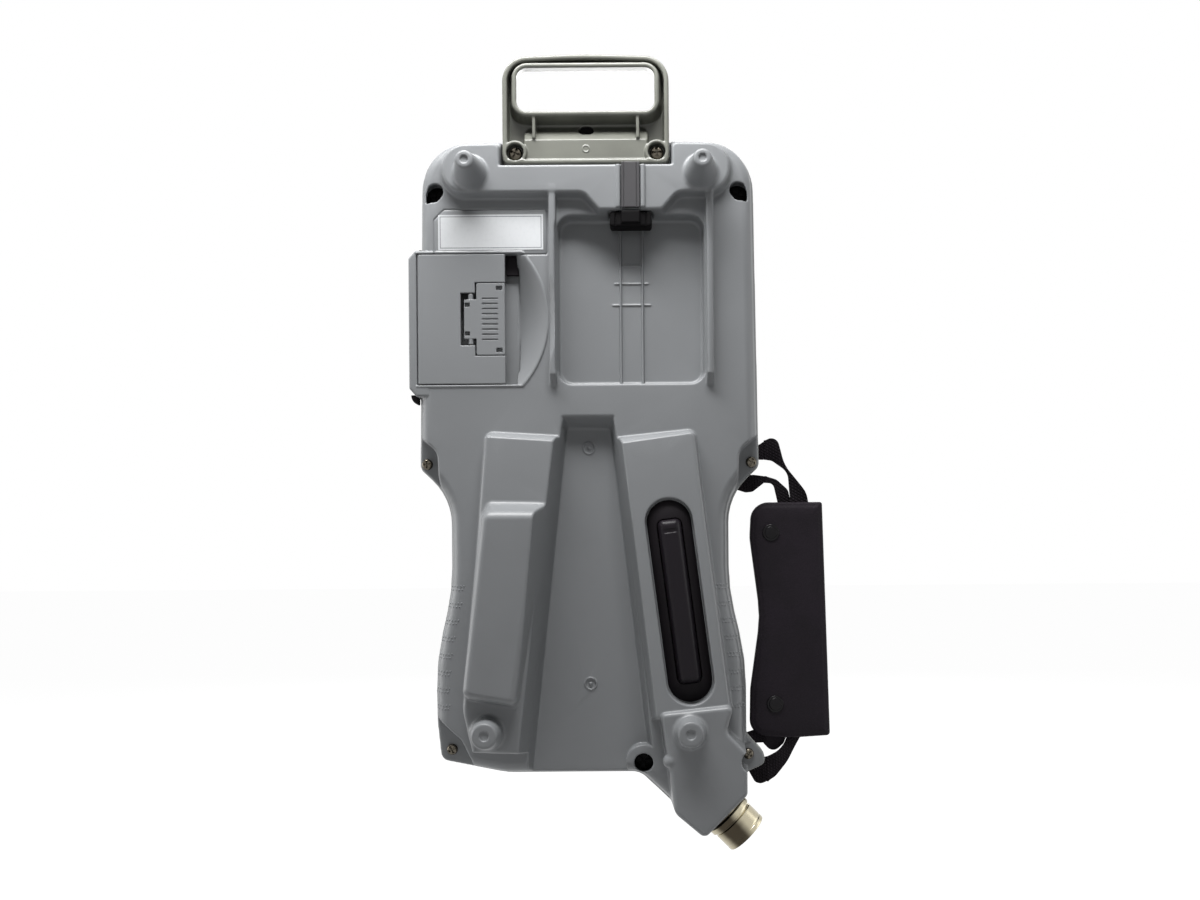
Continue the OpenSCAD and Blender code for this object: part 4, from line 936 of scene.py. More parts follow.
    def recesses(self, m: Moulding) -> None:
        """Every recess, lined with a wall of its own before it is cut."""
        self.recess(m, (POCKET[0] - 6, POCKET[1] + 6, POCKET[2] - 6, POCKET[3] + 2),
                    self.pocket, 0.9)
        self.recess(m, (-42, 42, -12, 182), self.valley_shape, 0.8)
        self.recess(m, (BAY[0] - 3, BAY[1] + 3, BAY[2] - 3, BAY[3] + 3), self.bay, 0.15)
        w = m.window(BAY[1] - 4, BAY[1] + 22, BAY[2] - 4, BAY[3] + 4)
        rim = np.maximum(w.circle(DISH_C, 49.5), w.rect(BAY[1] - 1, BAY[1] + 20, BAY[2] - 1.1,
                                                        BAY[3] + 1.1))
        lining = np.maximum(w.rect(BAY[1] + 0.1, BAY[1] + 15.5, BAY[2] - 2, BAY[3] + 2),
                            np.abs(w.d - 8.2) - 4.2)
        w.add(lining, 0)
        w.add(meet(rim, np.abs(w.d - 11) - 2.0, 0.2), 0)
        centre = DOOR_D + math.sqrt(DISH_BALL_R ** 2 - DISH_RIM_R ** 2)
        ball = np.sqrt((w.x - DISH_C[0]) ** 2 + (w.z - DISH_C[1]) ** 2
                       + (w.d - centre) ** 2) - DISH_BALL_R
        w.cut(np.maximum(ball, w.rect(BAY[1] - 1, BAY[1] + 18, BAY[2], BAY[3])), 0.25)
        for z0 in (BAY[2] - 1.1, BAY[3]):
            w = m.window(BAY[0] - 2, BAY[1] + 2, z0 - 2, z0 + 3)
            w.add(meet(w.rect(BAY[0] - 0.5, BAY[1] + 1, z0, z0 + 1.1), np.abs(w.d - 11.5) - 1.5,
                       0.2), 0)
        self.recess(m, (-46, 46, NOTCH_Z - 6, 320), self.handle_seat, 0.6)
        self.recess(m, (WELL_C[0] - 24, WELL_C[0] + 24, WELL_C[1] - 56, WELL_C[1] + 56),
                    self.well, 0.8)
        for s in (-1, 1):
            self.recess(m, tuple(sorted((s * 66, s * 90))) + (120, 176),
                        lambda w, s=s: self.shoulder_notch(w, s), 1.0)
        self.recess(m, (-88, -50, -8, 34), self.corner_notch, 1.0)
        self.recess(m, (68, 90, -6, 26), self.lug_notch, 0.5)
        self.small_marks(m)

    def recess(self, m: Moulding, area: tuple[float, float, float, float],
               shape: Callable[[Patch], Array], r: float) -> None:
        """Lines a recess with a wall, then cuts it.

        Args:
            m: the moulding.
            area: limits of the recess in plan, with room for its wall.
            shape: gives the signed distance to the hollow.
            r: radius of its outer edge.
        """
        w = m.window(area[0] - 3, area[1] + 3, area[2] - 3, area[3] + 3)
        hollow = shape(w)
        w.v[...] = np.minimum(w.v, np.maximum(np.maximum(w.outer, hollow - WALL), -w.d))
        w.cut(hollow, r)

    def pocket(self, w: Patch) -> Array:
        """Hollow of the memory stick pocket."""
        rect = w.rect(*POCKET, 7.5) + 0.1 * (DECK_D - w.d)
        return meet(rect, POCKET_FLOOR - w.d, 1.6)

    def valley_shape(self, w: Patch) -> Array:
        """Hollow of the valley between the grip blocks."""
        t = (w.d - VALLEY_FLOOR) / (DECK_D - VALLEY_FLOOR)
        low, high = w.plan(valley(VALLEY_FLOOR)), w.plan(valley(DECK_D))
        return meet(low * (1 - t) + high * t, VALLEY_FLOOR - w.d, 1.0)

    def bay(self, w: Patch) -> Array:
        """Hollow of the card bay with its finger channel."""
        return np.maximum(w.rect(*BAY), BAY_FLOOR - w.d)

    def handle_seat(self, w: Patch) -> Array:
        """Open seat for the foot of the hanger handle."""
        return meet(w.rect(-41.5, 41.5, NOTCH_Z, 400, 1.0), 4 - w.d, 0.3)

    def well(self, w: Patch) -> Array:
        """Round-ended well of the enabling switch."""
        return meet(w.slot(WELL_C, 99.4, 22.8, WELL_LEAN), WELL_FLOOR - w.d, 0.4)

    def shoulder_notch(self, w: Patch, s: int) -> Array:
        """Notch that bares a shoulder screw, on side s."""
        path: list[Corner] = [
            (SHOULDER_SCREW[0] - 7.6, 128, 0), (CASE_W / 2 + 6, 128, 0),
            (CASE_W / 2 + 6, SHOULDER_Z + 17.5, 0), (CASE_W / 2 - 0.2, SHOULDER_Z + 16.0, 3),
            (SHOULDER_SCREW[0] - 6.6, SHOULDER_Z + 8.0, 9)]
        if s < 0:
            path = [(-x, z, r) for x, z, r in reversed(path)]
        return meet(w.plan(path), NOTCH_D - w.d, 1.0)

    def corner_notch(self, w: Patch) -> Array:
        """Notch that bares the screw at the lower left corner."""
        sx, sz = CORNER_SCREW
        path: list[Corner] = [
            (-GRIP_W, -9, 0), (sx + 12, -9, 0), (sx + 11, 8, 4), (sx + 6, sz + 5.9, 5),
            (sx - 5, sz + 16, 3), (-GRIP_W, sz + 16.2, 0)]
        return meet(w.plan(path), NOTCH_D - w.d, 1.0)

    def lug_notch(self, w: Patch) -> Array:
        """Notch round the screw that holds the strap at the lower right."""
        path: list[Corner] = [
            (LUG[0] - 0.5, LUG[1] - 8, 0), (LUG[0] + 20, LUG[1] - 8, 0),
            (LUG[0] + 20, LUG[1] + 12, 0), (LUG[0] - 0.5, LUG[1] + 5.3, 0)]
        return np.maximum(join(w.plan(path), w.circle(LUG, 5.3), 0), NOTCH_D - w.d)

    def small_marks(self, m: Moulding) -> None:
        """Pocket ribs, ring marks, the line round the label, port ribs and a round knob."""
        w = m.window(POCKET[0], POCKET[1], POCKET[2], POCKET[3])
        for s in (-1, 1):
            x = PORT_X + s * 5.4
            w.add(meet(w.rect(x - 0.55, x + 0.55, POCKET[2] + 0.5, POCKET[3] - 0.5),
                       np.abs(w.d - POCKET_FLOOR) - 1.3, 0.4), 0.1)
        for z, reach in ((251.0, 5.4), (242.0, 8.5), (231.5, 9.5)):
            w.add(meet(w.rect(PORT_X - reach, PORT_X + reach, z - 0.3, z + 0.3),
                       np.abs(w.d - POCKET_FLOOR) - 0.6, 0.2), 0.1)
        for z in (161.0, 44.5):
            w = m.window(-6, 6, z - 6, z + 6)
            w.add(meet(w.circle((0, z), 3.2), np.abs(w.d - VALLEY_FLOOR) - 0.5, 0.15), 0.1)
            w.cut(np.maximum(w.circle((0, z), 2.5), VALLEY_FLOOR - 0.3 - w.d), 0.1)
            w.add(meet(w.circle((0, z), 0.8), np.abs(w.d - VALLEY_FLOOR) - 0.5, 0.1), 0.1)
        w = m.window(-78, -14, 252, 282)
        pad = w.plan([(-74.4, 255, 1), (-19.2, 255, 1), (-19.2, 277.0, 1), (-69.5, 277.0, 1),
                      (-74.4, 272.0, 1)])
        w.cut(np.maximum(np.abs(pad) - 0.3, DECK_D - 0.45 - w.d), 0.1)
        w = m.window(PORT_X - 9, PORT_X + 9, PORT_BLOCK_Z, NOTCH_Z + 2)
        for s in (-1, 1):
            x = PORT_X + s * 6.0
            w.add(meet(w.rect(x - 1.0, x + 1.0, PORT_BLOCK_Z + 1.2, NOTCH_Z - 0.6),
                       np.abs(w.d - BAND_D) - 1.1, 0.3), 0.1)
        w = m.window(33, 45, 4, 16)
        ball = np.sqrt((w.x - 38.8) ** 2 + (w.z - 9.7) ** 2 + (w.d - 26) ** 2) - 3.6
        w.add(ball, 0.5)

    def deep_hole(self, w: Patch, c: tuple[float, float]) -> Array:
        """Screw hole that widens under its rim, with a wall left towards the sides."""
        mouth = w.circle(c, 4.6)
        if c != SPOUT_SCREW:
            out = math.copysign(1, c[0])
            path = [(4.3, -5.1, 0.8), (-1.5, -4.3, 3), (-4.3, -1, 3), (-4.3, 3, 3),
                    (-1, 4.6, 3), (2.7, 3.8, 3), (4.3, -1, 3)]
            mouth = w.plan([(c[0] + out * x, c[1] + z, r) for x, z, r in path])
        wide = np.maximum(np.maximum(w.circle(c, 6.2), w.d - DECK_D + 2.2), w.outer + 1.2)
        return np.maximum(np.minimum(mouth, wide), LUG_D - w.d)

    def holes(self, m: Moulding) -> None:
        """Deep screw holes, the port, the hole of the receptacle and the key bar's slot."""
        for x, z in (TOP_SCREW, (-TOP_SCREW[0], TOP_SCREW[1]), SPOUT_SCREW):
            self.recess(m, (x - 8, x + 8, z - 8, z + 8),
                        lambda w, c=(x, z): self.deep_hole(w, c), 0.4)
        w = m.window(PORT_X - 14, PORT_X + 14, 264, 300)
        w.cut(np.maximum(w.rect(PORT_X - 10.8, PORT_X + 10.8, POCKET[3] - 6, PORT_BLOCK_Z),
                         7 - w.d), 0.3)
        w.cut(np.maximum(w.rect(PORT_X - 7, PORT_X + 7, POCKET[3] - 4, 292),
                         np.abs(w.d - 12.4) - 3.3), 0.2)
        w.cut(np.maximum(w.rect(PORT_X - 4.7, PORT_X + 4.7, POCKET[3], NOTCH_Z + 1),
                         BAND_D - 0.8 - w.d), 0.2)
        w = m.window(WELL_C[0] - 24, WELL_C[0] + 24, WELL_C[1] - 56, WELL_C[1] + 56)
        w.cut(np.maximum(w.slot(WELL_C, 83, 15.5, WELL_LEAN), 1 - w.d), 0.3)
        w = m.window(40, 88, -34, 20)
        along, _, radial = spouted(w)
        w.cut(np.maximum(radial - 9.6, -along - 12), 0.2)


# ------------------------------------------------------------------------------ small castings
def boxed(px: Array, pz: Array, hx: float, hz: float, r: float = 0.0) -> Array:
    """Signed distance to a rectangle with half sides hx and hz and corners of radius r."""
    dx, dz = np.abs(px) - hx + r, np.abs(pz) - hz + r
    return (np.minimum(np.maximum(dx, dz), 0)
            + np.sqrt(np.maximum(dx, 0) ** 2 + np.maximum(dz, 0) ** 2) - r)


def layer(w: Patch, lo: float, hi: float) -> Array:
    """Signed distance to the slab between two depths."""
    return np.abs(w.d - (lo + hi) / 2) - (hi - lo) / 2


def leaned(w: Patch) -> tuple[Array, Array]:
    """Coordinates across and along the enabling switch."""
    cos, sin = math.cos(math.radians(WELL_LEAN)), math.sin(math.radians(WELL_LEAN))
    px, pz = w.x - WELL_C[0], w.z - WELL_C[1]
    return px * cos + pz * sin, pz * cos - px * sin


def spouted(w: Patch) -> tuple[Array, Array, Array]:
    """Coordinates along the receptacle, off its axis in plan, and radial distance from it."""
    along = ((w.x - SPOUT_MID[0]) - (w.z - SPOUT_MID[1])) * math.sqrt(0.5)
    across = ((w.x - SPOUT_MID[0]) + (w.z - SPOUT_MID[1])) * math.sqrt(0.5)
    return along, across, np.sqrt(across ** 2 + (w.d - SPOUT_D) ** 2)


@dataclass
class Caster:
    """Casts the smaller pieces from distance fields and dresses them."""

    shop: Workshop
    coarse: float

    def cast(self, name: str, look: Looks, body: str, nodes: tuple[str, ...],
             span: tuple[tuple[float, float], ...], step: float, most: int,
             shape: Callable[[Patch], Array]) -> bpy.types.Object:
        """Casts one piece.

        Args:
            name: name of the piece.
            look: its finish.
            body: the body that it rides on.
            nodes: the solids that it stands for.
            span: limits of the piece in x, z and depth, with a margin.
            step: size of the grid's cells.
            most: largest number of triangles.
            shape: gives the signed distance to the piece.

        Returns:
            The finished piece.
        """
        m = Moulding(*span, step * self.coarse)
        w = m.window()
        w.v[...] = shape(w)
        thing = m.mesh(name, most)
        self.shop.dress(thing, look, body, *nodes)
        return thing


HANDLE: list[Corner] = [
    (-40.5, 298.3, 3), (40.5, 298.3, 3), (40.5, 350.2, 12), (0, 351.8, 300), (-40.5, 350.2, 12)]
OPENING = (-33.3, 33.3, 324.2, 345.0)
HANDLE_SCREW_X = 34.5
HANDLE_SCREW_Z = 304.2
KEY_FIELD: list[Corner] = [
    (-46, 8, 10), (62, 8, 8), (68.4, 36, 20), (68.4, 56, 100), (60.2, 91, 80), (60.2, 138, 12),
    (66.2, 146, 5), (66.2, 153, 4), (-66.2, 153, 4), (-66.2, 146, 5), (-60.2, 138, 12),
    (-60.2, 91, 80), (-68.4, 56, 100), (-68.4, 20, 14)]
# Places of the controls, layout of the keys, oval of the handle, axis of the latch pin
STOP_P = (-50.0, 283.0)
MODE_P = (50.0, 283.0)
START_P = (23.0, 283.0)
HOLD_P = (-3.0, 283.0)
KEY_ROWS = 8
KEY_PITCH_X = 15.6
KEY_PITCH_Z = 15
KEY_LOW_Z = 23
OVAL_Z = 316.6
LATCH_PIN = (-56.8, 11.7)


@dataclass
class FrontCover:
    """The front cover with its window recess, key field and holes."""

    caster: Caster

    def build(self) -> None:
        """Builds the cover."""
        self.caster.cast("front_cover_moulding", Looks.FRONT, "case", ("front_cover",),
                         ((-88, 89), (-32, 317), (-15, 1)), 0.55, 150000, self.shape)

    def shape(self, w: Patch) -> Array:
        """Signed distance to the cover."""
        case = w.plan(CASE_PATH)
        v = np.maximum(meet(case + 0.2, -w.d - FRONT_D, 3.2), w.d)
        hollow = np.maximum(w.plan(DECK_PATH) + WALL, WALL - FRONT_D - w.d)
        v = np.maximum(v, -hollow)
        seal = np.maximum(case + 1.05, -0.8 - w.d)
        v = np.maximum(v, -seal)
        v = meet(v, -np.maximum(w.rect(-63, 63, 160, 258, 3), w.d + 12.2), 0.4)
        v = np.maximum(v, -w.rect(-59, 59, 164, 254, 1))
        v = meet(v, -np.maximum(w.plan(KEY_FIELD), w.d + 12.6), 0.4)
        for spot, r in ((STOP_P, 11.05), (MODE_P, 8.4), (START_P, 8.4), (HOLD_P, 8.4)):
            v = np.maximum(v, -w.circle(spot, r))
        for x0, z0, z1 in ((SHOULDER_SCREW[0] - 2, 155.0, 164.2), (LUG[0] - 1, -3.0, 7.4),
                           (SHOULDER_SCREW[0] - 11, 138.8, 147.6)):
            v = meet(v, -np.maximum(w.rect(x0, 100, z0, z1), layer(w, -9.5, -1.8)), 0.3)
        return v


@dataclass
class Handle:
    """The hanger handle: double rim, sunk panel and raised foot panel."""

    caster: Caster

    def build(self) -> None:
        """Builds the handle and the dark disc in its oval recess, which is painted shade."""
        self.caster.cast("handle_moulding", Looks.HANDLE, "case", ("hanger_handle",),
                         ((-42, 42), (297, 354), (3, 16)), 0.33, 130000, self.shape)
        # The disc is painted shade: a dark piece that stands in for the shadow in a deep oval
        # hole.
        self.caster.cast("handle_recess_disc", Looks.CAP, "case", (),
                         ((-4.5, 4.5), (313, 320), (4, 7.5)), 0.2, 8000, self.disc)

    def shape(self, w: Patch) -> Array:
        """Signed distance to the handle."""
        outer = w.plan(HANDLE)
        inner = w.rect(*OPENING, 4.8) + 0.22 * (w.d - 15)
        v = meet(outer, layer(w, 4.6, 6.8), 0.2)
        v = join(v, meet(np.maximum(outer, -(outer + 2.4)), layer(w, 4, 15), 0.9), 0.7)
        v = join(v, meet(inner - 2.4, layer(w, 4, 15), 0.9), 0.7)
        ramp = (w.d - 13.2 + 0.8 * np.maximum(w.z - 310.5, 0)) * 0.78
        v = join(v, meet(w.rect(-30.2, 30.2, 299, 318.4, 4), np.maximum(ramp, 4 - w.d), 0.9),
                 0.8)
        for s in (-1, 1):
            rib = w.rect(s * 25.3 - 0.8, s * 25.3 + 0.8, 311, 323.5)
            v = join(v, meet(rib, layer(w, 6, 14.2), 0.4), 0.5)
            boss = w.circle((s * HANDLE_SCREW_X, HANDLE_SCREW_Z), 5.8)
            v = join(v, meet(boss, layer(w, 4, 14.8), 0.7), 0.8)
        for s in (-1, 1):
            spot = (s * HANDLE_SCREW_X, HANDLE_SCREW_Z)
            v = meet(v, -np.maximum(w.circle(spot, 4.2), 10.5 - w.d), 0.4)
            v = np.maximum(v, -w.circle(spot, 1.55))
        v = meet(v, -inner, 1.1)
        mark = np.abs(w.circle((0, 306), 1.6)) - 0.25
        v = join(v, np.maximum(mark, np.abs(w.d - 13.2) - 0.25), 0.15)
        oval = boxed(w.x, w.z - OVAL_Z, 3.7, 2.5, 2.49)
        return meet(v, -np.maximum(oval, 5.2 - w.d), 0.3)

    def disc(self, w: Patch) -> Array:
        """Signed distance to the dark disc at the bottom of the oval recess, painted shade that
        stands in for a deep hole.
        """
        return np.maximum(boxed(w.x, w.z - OVAL_Z, 3.4, 2.2, 2.19), layer(w, 4.9, 6.4))


@dataclass
class CardDoor:
    """The card door, its latch lever and spring, and the bumper under its frame."""

    caster: Caster
    x0: float = -83.0
    x1: float = -40.0
    z0: float = 191.9
    z1: float = 255.1
    mid: float = 223.5
    lever_x: float = -54.0
    stem_x: float = -60.0

    def build(self) -> None:
        """Builds the door, the lever, its spring and the bumper."""
        self.caster.cast("door_moulding", Looks.DOOR, "card_door", ("card_door",),
                         ((-84, -39), (191, 256), (9.2, 14)), 0.24, 110000, self.door)
        self.caster.cast("latch_moulding", Looks.DOOR, "door_latch", ("door_latch",),
                         ((-61.5, -39.5), (205, 242), (8.4, 13.8)), 0.16, 90000, self.latch)
        self.caster.cast("latch_spring_coil", Looks.STEEL, "door_latch", ("latch_spring",),
                         ((-58.2, -55.4), (220, 226.4), (10.3, 13.1)), 0.07, 20000, self.coil)
        self.caster.cast("door_bumper_rubber", Looks.RUBBER, "case", ("door_bumper",),
                         ((-89, -83), (182, 188.5), (0.8, 8.8)), 0.2, 20000, self.bumper)

    def from_pin(self, w: Patch) -> Array:
        """Distance from the axis of the latch pin."""
        return np.sqrt((w.x - LATCH_PIN[0]) ** 2 + (w.d - LATCH_PIN[1]) ** 2)

    def door(self, w: Patch) -> Array:
        """Signed distance to the door."""
        hinge = np.sqrt((w.x + 81.3) ** 2 + (w.d - 11.3) ** 2)
        tall = np.maximum(self.z0 - w.z, w.z - self.z1)
        v = meet(w.rect(-81.3, self.x1, self.z0, self.z1), layer(w, 11.2, 13), 0.3)
        v = join(v, meet(hinge - 1.7, tall, 0.3), 0)
        for z in (self.mid - 16.0, self.mid + 12.8):
            v = join(v, np.maximum(w.rect(-58.6, -55.0, z, z + 3.2), layer(w, 10.1, 11.7)), 0.2)
        lever = w.rect(self.lever_x - 0.7, self.x1 + 3, self.mid - 17.9, self.mid + 17.9)
        stem = w.rect(self.stem_x - 1.7, self.lever_x, self.mid - 12.8, self.mid + 12.8)
        v = meet(v, -np.minimum(lever, stem), 0.25)
        pin = self.from_pin(w) - 0.65
        v = np.maximum(v, -np.maximum(pin, np.abs(w.z - self.mid) - 15.4))
        return np.maximum(v, -(hinge - 0.85))

    def latch(self, w: Patch) -> Array:
        """Signed distance to the latch lever."""
        wide = w.rect(self.lever_x, self.x1 - 0.1, self.mid - 17.5, self.mid + 17.5, 0.8)
        stem = w.rect(self.stem_x, self.lever_x + 1.5, self.mid - 9.6, self.mid + 9.6, 0.5)
        axle = self.from_pin(w)
        tall = np.abs(w.z - self.mid)
        v = meet(join(wide, stem, 0.4), layer(w, 11.4, 13), 0.25)
        v = join(v, meet(axle - 1.25, tall - 12.3, 0.3), 0.1)
        v = join(v, np.maximum(w.rect(-51, -49.8, self.mid - 8, self.mid + 8),
                               layer(w, 9, 11.7)), 0.3)
        v = np.maximum(v, -np.maximum(axle - 0.65, tall - 30))
        v = np.maximum(v, -np.maximum(np.maximum(axle - 1.0, tall - 3), w.d - 12.6))
        for s in (-1, 1):
            far = w.rect(-44.4, -41.4, self.mid + s * 15.1 - 1.0, self.mid + s * 15.1 + 1.0, 0.3)
            near = w.rect(-59.6, -57.2, self.mid + s * 7 - 1.0, self.mid + s * 7 + 1.0, 0.3)
            v = meet(v, -np.maximum(np.minimum(far, near), 11.5 - w.d), 0.15)
        for k in range(-4, 5):
            groove = boxed(w.x + 47.4, w.z - self.mid - 2.5 * k, 3.9, 0.34, 0.3)
            v = meet(v, -np.maximum(groove, 12.55 - w.d), 0.12)
        return v

    def coil(self, w: Patch) -> Array:
        """Signed distance to the torsion spring round the latch pin."""
        axle = self.from_pin(w)
        turn = np.clip(np.round((w.z - self.mid + 2.5) / 0.95), 0, 5)
        return np.sqrt((axle - 0.72) ** 2 + (w.z - self.mid + 2.5 - 0.95 * turn) ** 2) - 0.15

    def bumper(self, w: Patch) -> Array:
        """Signed distance to the rubber bumper under the door frame."""
        ball = (np.sqrt(((w.x + 83.8) / 3.4) ** 2 + ((w.z - 187.6) / 4.6) ** 2) - 1) * 3.4
        return meet(np.maximum(ball, w.z - 187.4), np.maximum(layer(w, 1.5, 8), w.x + 83.8), 0.5)


@dataclass
class EnablingSwitch:
    """Rubber boot and long bar of the enabling switch."""

    caster: Caster

    def build(self) -> None:
        """Builds both pieces."""
        self.caster.cast("switch_boot_rubber", Looks.RUBBER, "case", ("switch_boot",),
                         ((24, 64), (34, 137), (15, 23)), 0.36, 110000, self.boot)
        self.caster.cast("key_bar_rubber", Looks.DARK, "key_bar", ("key_bar",),
                         ((24, 64), (34, 137), (3.6, 27)), 0.36, 70000, self.bar)

    def boot(self, w: Patch) -> Array:
        """Signed distance to the boot."""
        across, along = leaned(w)
        far = along - np.clip(along, -38.3, 38.3)
        ring = np.sqrt(across ** 2 + far ** 2)
        dome = np.maximum(w.d - 20.9 + 0.022 * ring ** 2, 17 - w.d)
        v = meet(ring - 11.2, dome, 1.2)
        v = join(v, np.maximum(boxed(across, along, 8.9, 42.7, 6), layer(w, 15.9, 17.4)), 0.3)
        return meet(v, -boxed(across, along, 6.05, 39.8, 3.2), 0.2)

    def bar(self, w: Patch) -> Array:
        """Signed distance to the bar."""
        across, along = leaned(w)
        crown = w.d - 25.8 + 0.022 * across ** 2 + 0.00018 * along ** 2
        body = boxed(across, along, 5.75 - 0.045 * np.maximum(w.d - 18, 0), 39.5, 2.6)
        v = np.maximum(meet(body, crown, 3.4), 15 - w.d)
        pad = np.maximum(boxed(across, along - 34, 3.6, 0.9, 0.5), 25.05 - w.d)
        v = meet(v, -pad, 0.3)
        for s in (-1, 1):
            stem = np.sqrt(across ** 2 + (along - 20 * s) ** 2) - 3
            v = join(v, np.maximum(stem, layer(w, 4.4, 16)), 0.2)
        return v


@dataclass
class PortCap:
    """Rubber cap of the memory stick port and its strap."""

    caster: Caster

    def build(self) -> None:
        """Builds both pieces."""
        # The port cap's near-black rubber is painted shade under the port block.
        self.caster.cast("port_cap_rubber", Looks.CAP, "port_cap", ("port_cap",),
                         ((10, 33), (265.5, 279), (6, 20)), 0.22, 60000, self.cap)
        # The strap's lighter grey is partly its own colour and partly painted sheen.
        self.caster.cast("cap_strap_rubber", Looks.STRAP, "case", ("cap_strap",),
                         ((16, 27.5), (274.8, 299), (16.2, 19.6)), 0.2, 40000, self.strap)

    def cap(self, w: Patch) -> Array:
        """Signed distance to the cap."""
        v = meet(w.rect(11.4, 31.8, 267.2, 274.4, 1.4), layer(w, 7.5, 16.8), 1.0)
        rise = meet(w.rect(17.1, 26.1, 268.4, 274.4, 0.4), layer(w, 14, 18.8), 0.7)
        v = join(v, rise, 0.8)
        for s in (-1, 1):
            groove = np.maximum(np.abs(w.x - PORT_X - s * 7.4) - 0.35, 16.3 - w.d)
            v = meet(v, -groove, 0.2)
        return join(v, meet(w.rect(15.4, 27.8, 273.4, 277.0, 0.8), layer(w, 9.8, 14.8), 0.4), 0.2)

    def strap(self, w: Patch) -> Array:
        """Signed distance to the strap."""
        v = meet(w.rect(17.1, 26.1, 275.8, 297.9, 0.5), layer(w, 17.22, 18.8), 0.4)
        for s in (-1, 1):
            v = meet(v, -np.maximum(np.abs(w.x - PORT_X - s * 3.1) - 0.25, 18.5 - w.d), 0.15)
        return v


@dataclass
class Receptacle:
    """The nickel-plated shell of the cable receptacle."""

    caster: Caster

    def build(self) -> None:
        """Builds the shell."""
        self.caster.cast("receptacle_shell_turned", Looks.NICKEL, "case", ("receptacle_shell",),
                         ((49, 87), (-40, -1), (1, 26)), 0.3, 130000, self.shape)

    def shape(self, w: Patch) -> Array:
        """Signed distance to the shell."""
        a, across, r = spouted(w)

        def turned(radius: float, lo: float, hi: float, edge: float) -> Array:
            """One cylinder on the receptacle's axis."""
            return meet(r - radius, np.abs(a - (lo + hi) / 2) - (hi - lo) / 2, edge)

        v = turned(11.7, 0.02, 3, 0.5)
        v = join(v, turned(10.2, 0.02, 5, 0.1), 0.2)
        v = join(v, turned(11, 4, 14, 0.7), 0.1)
        v = join(v, turned(9.5, -9, 1, 0.1), 0)
        ring = np.sqrt((r - 11.1) ** 2 + (a - 11.4) ** 2) - 0.4
        v = meet(v, -ring, 0.1)
        v = np.maximum(v, -np.maximum(r - 8, a - 4))
        v = meet(v, -np.maximum(r - 9, 3.9 - a), 0.3)
        key = np.maximum(np.maximum(np.abs(w.d - SPOUT_D) - 0.9, 10 - a), across + 7)
        return np.maximum(v, -key)


